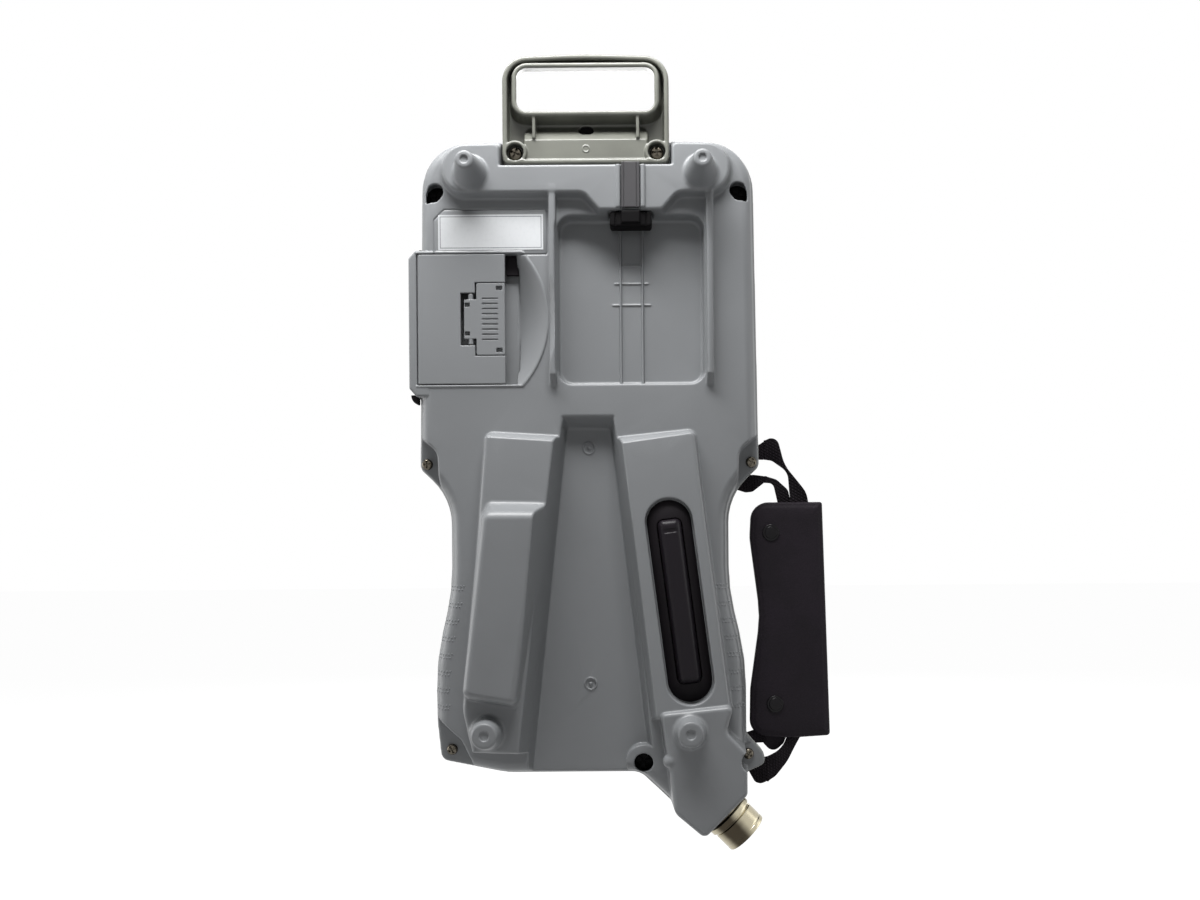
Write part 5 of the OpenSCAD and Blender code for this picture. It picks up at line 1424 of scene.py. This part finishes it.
@dataclass
class FrontControls:
    """Keys, emergency stop, mode lock and push buttons of the front side."""

    caster: Caster

    def build(self) -> None:
        """Builds every control."""
        cast = self.caster.cast
        cast("key_sheet_film", Looks.KEYS, "case", ("key_sheet",),
             ((-70, 70), (6, 155), (-15.4, -12.4)), 0.34, 190000, self.keys)
        cast("stop_collar_ring", Looks.YELLOW, "case", ("stop_collar",),
             ((-71, -29), (262, 304), (-18, -12.5)), 0.32, 60000, self.collar)
        cast("stop_head_cap", Looks.RED, "stop_head", ("stop_head",),
             ((-67, -33), (266, 300), (-34, -22)), 0.3, 70000, self.head)
        cast("mode_barrel_turned", Looks.STEEL, "case", ("mode_barrel",),
             ((38, 62), (271, 295), (-16.2, -1.2)), 0.3, 50000, self.barrel)
        cast("mode_key_cut", Looks.NICKEL, "mode_key", ("mode_key",),
             ((48, 52), (271, 295), (-43, -7)), 0.24, 50000, self.mode_key)
        for name, spot, look in (("start_button", START_P, Looks.GREEN),
                                 ("hold_button", HOLD_P, Looks.WHITE)):
            cast(f"{name}_cap", look, name, (name,),
                 ((spot[0] - 8, spot[0] + 8), (spot[1] - 8, spot[1] + 8), (-17.4, -5.5)), 0.24,
                 30000, lambda w, c=spot: self.button(w, c))
        cast("button_bezels_turned", Looks.STEEL, "case", ("button_bezels",),
             ((-14, 34), (272, 294), (-16, -2)), 0.3, 70000, self.bezels)

    def keys(self, w: Patch) -> Array:
        """Signed distance to the key sheet with its raised keys."""
        v = np.maximum(w.plan(KEY_FIELD) + 0.2, layer(w, -14, -13.2))
        column = np.clip(np.round(w.x / KEY_PITCH_X), -3, 3)
        line = np.clip(np.round((w.z - KEY_LOW_Z) / KEY_PITCH_Z), 0, KEY_ROWS - 1)
        corner = (line < 1) & (np.abs(column) > 2)
        off = w.x - KEY_PITCH_X * column
        key = boxed(off, w.z - KEY_LOW_Z - KEY_PITCH_Z * line, 5.6, 5, 1.4)
        key = np.where(corner, 5.0, key)
        dome = -w.d - 14.7 + 0.012 * off ** 2
        return join(v, np.maximum(meet(key, dome, 0.45), w.d + 13.4), 0.25)

    def collar(self, w: Patch) -> Array:
        """Signed distance to the collar."""
        r = w.circle(STOP_P, 0)
        cone = (r - 20 + (-w.d - 14) * 0.33) * 0.95
        v = meet(cone, layer(w, -17, -14), 0.8)
        return meet(v, -(r - 11.05), 0.6)

    def head(self, w: Patch) -> Array:
        """Signed distance to the mushroom head."""
        r = w.circle(STOP_P, 0)
        t = -w.d - 22.7
        turn = np.arctan2(w.z - STOP_P[1], w.x - STOP_P[0])
        dome = t - 10.6 + 0.0035 * r ** 2
        side = r - 16 + 0.35 * (np.cos(turn * 24) * 0.5 + 0.5) + 0.9 * np.maximum(3 - t, 0)
        v = np.maximum(meet(side * 0.8, dome, 2.6), -t)
        for k in range(3):
            mid = 2 * HALF_TURN * k / 3 + 0.5
            off = np.abs(np.mod(turn - mid + HALF_TURN, 2 * HALF_TURN) - HALF_TURN)
            arc = np.maximum(np.abs(r - 10.5) - 0.6, (off - 0.5) * 10.5)
            tip = np.mod(turn - mid - 0.62 + HALF_TURN, 2 * HALF_TURN) - HALF_TURN
            head = np.maximum(np.abs(r - 10.5) - 1.7 + (tip + 0.12) * 8, -(tip + 0.12) * 10)
            v = meet(v, -np.maximum(np.minimum(arc, head), 9.75 - t + 0.0035 * (110 - r ** 2)),
                     0.15)
        return np.maximum(v, -np.maximum(r - 6.05, t - 4.3))

    def barrel(self, w: Patch) -> Array:
        """Signed distance to the lock barrel."""
        r = w.circle(MODE_P, 0)
        v = meet(r - 11.5, layer(w, -15.5, -14), 0.5)
        v = join(v, np.maximum(r - 8.35, layer(w, -15, -2)), 0)
        for k in range(-1, 2):
            angle = math.radians(90 + 45 * k)
            spot = (MODE_P[0] + 9.7 * math.cos(angle), MODE_P[1] + 9.7 * math.sin(angle))
            v = meet(v, -np.maximum(w.circle(spot, 0.7), w.d + 15.1), 0.1)
        return meet(v, -(r - 6.05), 0.3)

    def mode_key(self, w: Patch) -> Array:
        """Signed distance to the key."""
        flat = np.abs(w.x - MODE_P[0])
        bow = np.sqrt((w.z - MODE_P[1]) ** 2 + (w.d + 31) ** 2)
        eye = np.sqrt((w.z - MODE_P[1]) ** 2 + (w.d + 35.5) ** 2) - 3
        v = np.maximum(boxed(w.z - MODE_P[1], w.d + 15, 3.8, 7.0, 0.5), flat - 1.2)
        v = join(v, meet(bow - 11, flat - 1.2, 0.4), 0.2)
        v = meet(v, -np.maximum(np.abs(bow - 8.8) - 0.35, 0.95 - flat), 0.1)
        return meet(v, -eye, 0.3)

    def button(self, w: Patch, c: tuple[float, float]) -> Array:
        """Signed distance to a push button's cap."""
        r = w.circle(c, 0)
        dish = -w.d - 16.1 - 0.008 * r ** 2
        v = np.maximum(meet(r - 7, dish, 0.7), w.d + 10.5)
        return join(v, np.maximum(r - 2, layer(w, -11, -6.5)), 0)

    def bezels(self, w: Patch) -> Array:
        """Signed distance to the two bezels."""
        rings: list[Array] = []
        for spot in (START_P, HOLD_P):
            r = w.circle(spot, 0)
            ring = meet(r - 9.8, layer(w, -15.2, -14), 0.5)
            ring = join(ring, np.maximum(r - 8.35, layer(w, -15, -3)), 0)
            rings.append(meet(ring, -(r - 7.05), 0.3))
        return np.minimum(*rings)


@dataclass
class HandStrap:
    """Soft sleeve, webbing and snaps of the hand strap."""

    caster: Caster
    plane: float = -5.0

    def build(self) -> None:
        """Builds every piece of the strap."""
        cast = self.caster.cast
        sleeve = cast("strap_sleeve_leather", Looks.LEATHER, "hand_strap", ("strap_sleeve",),
                      ((78, 121), (6.5, 136), (-10.6, 0.8)), 0.4, 120000, self.sleeve)
        cast("strap_snaps_pressed", Looks.SNAP, "hand_strap", ("strap_snaps",),
             ((85, 97), (28, 124), (-2, 1.5)), 0.2, 50000, self.snaps)
        cast("strap_web_woven", Looks.WEAVE, "hand_strap", ("strap_web",),
             ((86.5, 111), (-8, 167.5), (-10.5, 0.5)), 0.3, 90000, self.web)
        cast("strap_tabs_woven", Looks.WEAVE, "case", ("strap_tabs",),
             ((71, 88.2), (-9, 166.5), (-6.6, -3.4)), 0.24, 50000, self.tabs)

    def sleeve(self, w: Patch) -> Array:
        """Signed distance to the sleeve."""
        flat = w.plan([(78.9, 17.4, 8), (100, 15.6, 60), (119.6, 16.8, 2), (116.4, 134.2, 1.5),
                       (80.6, 134.2, 9),
                       (79.6, 116.2, 20), (84.6, 76.8, 60), (79.4, 40.4, 30)])
        inward = np.clip(-flat / 10, 0, 1)
        crown = 2.3 + 1.6 * np.sqrt(inward * (2 - inward))
        sag = 0.3 * np.sin(w.z * 0.09 + 0.6) * np.sin(w.x * 0.13)
        fold = 0.8 * np.clip((w.x + 0.0274 * w.z - 114.0) / 6, 0, 1)
        lip = 0.35 * np.exp(-((flat + 1.8) / 0.9) ** 2)
        half = crown + sag * inward + fold * inward - lip
        body = meet(flat + 0.2, np.abs(w.d - self.plane) - half, 1.5)
        tongue = meet(w.plan([(84, 20, 0), (86.2, 12.6, 4), (91, 7.6, 4), (96.4, 12.4, 4),
                              (99.6, 20, 0)]), layer(w, -8.4, -6.6), 0.7)
        return join(body, tongue, 0.8)

    def snaps(self, w: Patch) -> Array:
        """Signed distance to the domed snaps."""
        domes: list[Array] = []
        for spot in ((90.2, 118.7), (91.7, 33.1)):
            r = w.circle(spot, 0)
            dome = meet(meet(r - 4.3, w.d - 0.4 + 0.05 * r ** 2, 0.3), -1.6 - w.d, 0.1)
            ring = np.maximum(np.abs(r - 3.2) - 0.2, -0.35 - w.d)
            domes.append(meet(dome, -ring, 0.1))
        return np.minimum(*domes)

    def web(self, w: Patch) -> Array:
        """Signed distance to the swinging webbing."""
        rise = np.clip((w.z - 134.5) / 29, 0, 1)
        twist = 0.42 * np.sin(HALF_TURN * rise) * (w.x - 104 + 12 * rise)
        dip = np.clip((17 - w.z) / 17, 0, 1)
        turn = -0.36 * np.sin(HALF_TURN * dip) * (w.x - 100 + 7 * dip)
        away = np.clip((w.x - 88) / 4, 0, 1)
        v = np.abs(w.d - self.plane - (twist + turn) * away) - 0.75
        upper = w.plan([(88, 155.4, 0), (91.5, 155.0, 4), (99.2, 149.2, 8), (100.8, 130, 0),
                        (110.2, 130, 0), (108.6, 138.6, 12), (97.6, 152.6, 20), (94.2, 166.2, 4),
                        (90.2, 166.2, 3), (88, 165.2, 0)])
        lower = w.plan([(88, -6.2, 0), (92, -3.6, 8), (98.6, 4.4, 20), (106.4, 19.6, 0),
                        (99, 19.6, 0), (95.8, 11, 12), (88, 6.4, 0)])
        ribbon = meet(np.minimum(upper, lower), v, 0.4)
        tail = w.plan([(88, 143.8, 0), (92, 143.6, 3), (95.2, 130, 0), (102, 130, 0),
                       (99.8, 140.4, 4), (93.8, 145.6, 6), (88, 147.2, 0)])
        slope = 0.3 * (w.x - 88)
        ribbon = np.minimum(ribbon, meet(tail, np.abs(w.d - self.plane + slope) - 0.75, 0.4))
        spine = np.sqrt((w.x - 88) ** 2 + (w.d - self.plane) ** 2) - 0.75
        ends = np.minimum(np.abs(w.z - 160.3) - 4.9, np.abs(w.z - 0.1) - 6.3)
        ends = np.minimum(ends, np.abs(w.z - 145.5) - 1.7)
        return np.minimum(ribbon, np.maximum(spine, ends))

    def tabs(self, w: Patch) -> Array:
        """Signed distance to the tabs that stay in the case."""
        v = layer(w, self.plane - 0.75, self.plane + 0.75)
        upper = w.plan([(80, 155.6, 0), (87.3, 155.4, 0), (87.3, 164.6, 0), (85, 163, 3),
                        (80, 162, 0)])
        middle = w.plan([(73, 140.6, 0), (78.2, 139.0, 3), (81.6, 139.4, 3), (87.3, 143.8, 0),
                         (87.3, 147.2, 0), (82, 147.9, 6), (73, 147.4, 0)])
        lower = w.plan([(78.6, -1.0, 0), (81.6, -6.4, 3), (84.6, -7.4, 4), (87.3, -6.2, 0),
                        (87.3, 6.4, 0), (82, 4, 0)])
        short = w.plan([(75, 15.4, 0), (80.4, 13.2, 2), (87.2, 13.4, 0), (87.2, 19.6, 0),
                        (81.6, 19.9, 3), (75, 17.6, 0)])
        flat = np.minimum(np.minimum(upper, middle), np.minimum(lower, short))
        return meet(flat, v, 0.1)


# ------------------------------------------------------------------------------ repeated parts
@dataclass
class Repeats:
    """Small parts: screw heads and grip dots laid out by node trees, and key legends."""

    shop: Workshop

    def seed(self, name: str, build: Callable[[bmesh.types.BMesh], None]) -> bpy.types.Object:
        """Makes the pattern that a node tree repeats."""
        bm = bmesh.new()
        build(bm)
        return made(name, bm)

    def tree(self, name: str, pattern: bpy.types.Object, look: Looks,
             spun: bool) -> tuple[bpy.types.NodeTree, bpy.types.NodeTreeInterfaceSocket]:
        """Draws the node tree that repeats a pattern.

        Args:
            name: name of the piece.
            pattern: object that is repeated.
            look: its finish.
            spun: whether each point carries an angle of its own.

        Returns:
            The tree, and its input for the size of the pattern.
        """
        tree = bpy.data.node_groups.new(name + "_tree", "GeometryNodeTree")
        tree.interface.new_socket("Geometry", in_out="INPUT", socket_type="NodeSocketGeometry")
        size = tree.interface.new_socket("Size", in_out="INPUT", socket_type="NodeSocketFloat")
        size.default_value = 1.0
        tree.interface.new_socket("Geometry", in_out="OUTPUT", socket_type="NodeSocketGeometry")
        add = tree.nodes.new
        start, end = add("NodeGroupInput"), add("NodeGroupOutput")
        source = add("GeometryNodeObjectInfo")
        source.inputs["Object"].default_value = pattern
        spread = add("GeometryNodeInstanceOnPoints")
        real = add("GeometryNodeRealizeInstances")
        finish = add("GeometryNodeSetMaterial")
        finish.inputs["Material"].default_value = self.shop.materials[look]
        link = tree.links.new
        link(start.outputs["Geometry"], spread.inputs["Points"])
        link(source.outputs["Geometry"], spread.inputs["Instance"])
        link(start.outputs["Size"], spread.inputs["Scale"])
        if spun:
            angle = add("GeometryNodeInputNamedAttribute")
            angle.data_type = "FLOAT"
            angle.inputs["Name"].default_value = "spin"
            vector = add("ShaderNodeCombineXYZ")
            link(angle.outputs["Attribute"], vector.inputs["Y"])
            link(vector.outputs[0], spread.inputs["Rotation"])
        link(spread.outputs[0], real.inputs[0])
        link(real.outputs[0], finish.inputs[0])
        link(finish.outputs[0], end.inputs[0])
        return tree, size

    def repeat(self, name: str, pattern: bpy.types.Object, points: list[Vector], look: Looks,
               body: str, nodes: tuple[str, ...] = (),
               turns: list[float] | None = None) -> bpy.types.Object:
        """Repeats a pattern on points with a node tree and keeps the result as a plain mesh.

        Args:
            name: name of the piece.
            pattern: object that is repeated.
            points: its places in the row frame.
            look: its finish.
            body: the body that the piece rides on.
            nodes: the solids that it stands for.
            turns: angle about the depth axis at each point.

        Returns:
            The finished piece.
        """
        data = bpy.data.meshes.new(name)
        data.from_pydata([tuple(p) for p in points], [], [])
        if turns:
            spin = data.attributes.new("spin", "FLOAT", "POINT")
            spin.data.foreach_set("value", turns)
        thing = placed(name, data)
        tree, size = self.tree(name, pattern, look, bool(turns))
        modifier = thing.modifiers.new("repeat", "NODES")
        modifier.node_group = tree
        modifier[size.identifier] = 1.0
        thing = applied(thing)
        bpy.data.objects.remove(pattern)
        self.shop.dress(thing, look, body, *nodes)
        return thing

    def screw(self, head_r: float, head_h: float) -> Callable[[bmesh.types.BMesh], None]:
        """Pan head with a cross recess, drawn about its own foot, facing the back."""
        def build(bm: bmesh.types.BMesh) -> None:
            """Draws rings of the head, each pressed in where the cross lies."""
            around = 48
            profile = [(0.0, 1.0), (0.12, 1.0), (0.24, 1.0), (0.36, 1.0), (0.46, 1.0),
                       (0.58, 0.98), (0.72, 0.92), (0.86, 0.76), (0.96, 0.5), (1.0, 0.2),
                       (1.0, -0.5)]
            rings = []
            for out, up in profile[1:]:
                ring = []
                for k in range(around):
                    angle = 2 * HALF_TURN * k / around
                    arm = abs(math.sin(2 * angle))
                    deep = 0.9 if out < 0.6 and arm < 0.55 + 0.45 * (out < 0.2) else 0.0
                    ring.append(bm.verts.new((out * head_r * MM * math.cos(angle),
                                              -(up - deep) * head_h * MM,
                                              out * head_r * MM * math.sin(angle))))
                rings.append(ring)
            for a, b in zip(rings, rings[1:]):
                for k in range(around):
                    bm.faces.new((a[k], a[(k + 1) % around], b[(k + 1) % around], b[k]))
            bm.faces.new(rings[0])
            bm.faces.new(rings[-1][::-1])
        return build

    def bead(self, r: float) -> Callable[[bmesh.types.BMesh], None]:
        """A small low dome."""
        def build(bm: bmesh.types.BMesh) -> None:
            """Draws the dome."""
            bmesh.ops.create_icosphere(bm, subdivisions=2, radius=r * MM)
            bmesh.ops.scale(bm, vec=(1, 0.6, 1), verts=bm.verts[:])
        return build

    def edge_x(self, points: Array, z: float, s: int) -> float:
        """Where the outline crosses height z on side s."""
        crossings = []
        for (x0, z0), (x1, z1) in zip(points, np.roll(points, -1, axis=0)):
            if (z0 <= z) != (z1 <= z):
                crossings.append(x0 + (x1 - x0) * (z - z0) / (z1 - z0))
        return max(crossings) if s > 0 else min(crossings)

    def legends(self) -> None:
        """Generic numbers and arrows printed on the keys."""
        signs = "123456789"
        parts: list[bpy.types.Object] = []
        count = 0
        for line in range(KEY_ROWS):
            for column in range(-3, 4):
                if line < 1 and abs(column) > 2:
                    continue
                body = signs[count % 9] if line < 5 else "←↑→↓+-="[count % 7]
                text = bpy.data.curves.new("legend", "FONT")
                text.body = body
                text.size = 5.2 * MM
                text.extrude = 0.04 * MM
                text.resolution_u = 3
                text.align_x = "CENTER"
                text.align_y = "CENTER"
                thing = placed("legend", text)
                turn = Matrix(((-1, 0, 0), (0, 0, 1), (0, 1, 0))).to_4x4()
                spot = row(-KEY_PITCH_X * column, KEY_LOW_Z + KEY_PITCH_Z * line, -14.66)
                thing.matrix_world = Matrix.Translation(spot) @ turn
                parts.append(thing)
                count += 1
        bpy.context.view_layer.update()
        graph = bpy.context.evaluated_depsgraph_get()
        bm = bmesh.new()
        for thing in parts:
            data = bpy.data.meshes.new_from_object(thing.evaluated_get(graph))
            data.transform(thing.matrix_world)
            bm.from_mesh(data)
            bpy.data.meshes.remove(data)
            bpy.data.objects.remove(thing)
        self.shop.dress(made("key_legends", bm), Looks.DARK, "case")

    def build(self, rear: bpy.types.Object) -> None:
        """Lays out every repeated part.

        Args:
            rear: the finished rear cover, on which the grip dots lie.
        """
        case_spots = [SHOULDER_SCREW, (-SHOULDER_SCREW[0], SHOULDER_SCREW[1]), CORNER_SCREW, LUG]
        deep_spots = [TOP_SCREW, (-TOP_SCREW[0], TOP_SCREW[1]), SPOUT_SCREW]
        handle_spots = [(s * HANDLE_SCREW_X, HANDLE_SCREW_Z) for s in (-1, 1)]
        for name, spots, d, size in (("case_screw_heads", case_spots, 2.6, (2.7, 1.7)),
                                     ("long_screw_heads", deep_spots, 3.1, (5.2, 1.2)),
                                     ("handle_screw_heads", handle_spots, 11.6, (3.3, 1.5))):
            node = name.replace("_heads", "s")
            # The long screws get the near-black steel: painted shade of their deep holes.
            look = Looks.DULL if name.startswith("long") else Looks.STEEL
            self.repeat(name, self.seed(name + "_one", self.screw(*size)),
                        [row(x, z, d) for x, z in spots], look, "case", (node,),
                        [0.4 + 1.1 * k for k in range(len(spots))])
        dots: list[Vector] = []
        rows: list[tuple[float, float]] = []
        for k in range(8):
            z = 33.5 + 8.3 * k
            for j in range(5):
                rows += [(1.9 + 1.5 * j, z), (2.6 + 1.5 * j, z + 1.7)]
        side = rounded(DECK_PATH)
        for s in (-1, 1):
            for inward, z in rows:
                edge = self.edge_x(side, z, s) - s * inward
                hit, spot, _, _ = rear.ray_cast(row(edge, z, 60), Vector((0, 1, 0)))
                if hit:
                    dots.append(spot)
        self.repeat("grip_dots", self.seed("bead_one", self.bead(0.42)), dots, Looks.HOUSING,
                    "case")
        self.legends()


# ------------------------------------------------------------------------------ room
def looked_at(tree: bpy.types.NodeTree) -> Sock:
    """1 for rays from the camera, also through glass and by a mirror, and 0 for others."""
    path = tree.nodes.new("ShaderNodeLightPath")
    seen = Sock(tree, path.outputs["Is Camera Ray"])
    for other in ("Is Transmission Ray", "Is Glossy Ray"):
        seen = seen.math("MAXIMUM", Sock(tree, path.outputs[other]))
    return seen


@dataclass
class Studio:
    """Camera, lamps and the white room."""

    distance: float = 580.0
    eye: tuple[float, float] = (29.7, 105.5)
    frame_width: float = 598.2
    shift: tuple[float, float] = (-24.9, 54.8)
    roll: float = 0.0075
    ambient: float = 0.07

    def camera(self) -> None:
        """Puts the camera square behind the pendant, with a small shift and roll."""
        data = bpy.data.cameras.new("camera")
        data.sensor_width = 36.0
        data.lens = 36.0 * self.distance / self.frame_width
        data.shift_x = self.shift[0] / self.frame_width
        data.shift_y = self.shift[1] / self.frame_width
        data.clip_end = 20.0
        data.clip_start = 0.02
        cam = placed("camera", data)
        right = Vector((math.cos(self.roll), 0, -math.sin(self.roll)))
        up = Vector((math.sin(self.roll), 0, math.cos(self.roll)))
        back = right.cross(up)
        turn = Matrix((right, up, back)).transposed().to_4x4()
        cam.matrix_world = Matrix.Translation(row(*self.eye, self.distance)) @ turn
        bpy.context.scene.camera = cam

    def lamp(self, name: str, place: Vector, aim: Vector, wide: float, high: float,
             power: float) -> None:
        """One soft area lamp."""
        data = bpy.data.lights.new(name, "AREA")
        data.shape = "ELLIPSE"
        data.size = wide
        data.size_y = high
        data.energy = power
        lamp = placed(name, data)
        lamp.location = place
        lamp.rotation_euler = (aim - place).to_track_quat("-Z", "Y").to_euler()

    def room(self) -> None:
        """White floor and backdrop that look white to the camera and keep the light plain."""
        world = bpy.data.worlds.new("room")
        bpy.context.scene.world = world
        world.use_nodes = True
        tree = world.node_tree
        seen = looked_at(tree)
        back = next(n for n in tree.nodes if n.type == "BACKGROUND")
        back.inputs["Color"].default_value = (1, 1, 1, 1)
        strength = seen * (1 - self.ambient) + self.ambient
        tree.links.new(strength.out, back.inputs["Strength"])
        bm = bmesh.new()
        y0, y1, z0, reach = -9.0, 9.0, -0.46, 9.0
        lanes = [(-reach, y0, z0), (reach, y0, z0), (reach, y1, z0), (-reach, y1, z0)]
        low = [bm.verts.new(p) for p in lanes]
        bm.faces.new(low)
        data = bpy.data.meshes.new("floor")
        bm.to_mesh(data)
        bm.free()
        floor = placed("floor", data)
        p = Palette("floor_white")
        soft = p.noise(3.0, 2)
        p.set(Base_Color=p.mix(soft, (0.5, 0.5, 0.5), (0.52, 0.52, 0.52)), Roughness=0.9,
              Specular_IOR_Level=0.0)
        seen = looked_at(p.tree)
        glow = p.node("ShaderNodeEmission", None, Color=(1, 1, 1, 1), Strength=1.19)
        blend = p.node("ShaderNodeMixShader", None, Fac=seen * 0.82)
        p.tree.links.new(p.shader.outputs[0], blend.inputs[1])
        p.tree.links.new(glow.outputs[0], blend.inputs[2])
        end = next(n for n in p.tree.nodes if n.type == "OUTPUT_MATERIAL")
        p.tree.links.new(blend.outputs[0], end.inputs[0])
        data.materials.append(p.material)

    def build(self) -> None:
        """Sets up the camera, the lamps and the room."""
        self.camera()
        middle = row(0, 170, 10)
        self.lamp("key", row(-60, 600, 185), row(0, 200, 10), 0.5, 0.1, 4.3)
        self.lamp("low", row(-60, 640, 115), row(0, 200, 10), 0.5, 0.08, 1.6)
        self.lamp("left", row(-800, 150, -20), row(0, 150, 0), 0.6, 0.6, 3.2)
        self.lamp("right", row(800, 150, -20), row(0, 150, 0), 0.6, 0.6, 1.4)
        self.lamp("front_side", middle + Vector((0.0, 1.3, 0.6)), middle, 0.8, 0.8, 12.0)
        self.room()


def main() -> None:
    """Builds every piece."""
    logging.basicConfig(level=logging.INFO, format="%(message)s")
    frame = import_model()
    Studio().build()
    shop = Workshop(frame)
    rear = RearCover(step=0.5)
    back = rear.build()
    shop.dress(back, Looks.HOUSING, "case", "rear_cover")
    caster = Caster(shop, 1.0)
    for group in (FrontCover, Handle, CardDoor, EnablingSwitch, PortCap, Receptacle,
                  FrontControls, HandStrap):
        group(caster).build()
    Repeats(shop).build(back)
    scene = bpy.context.scene
    scene.view_settings.view_transform = "Standard"


if __name__ == "__main__":
    main()
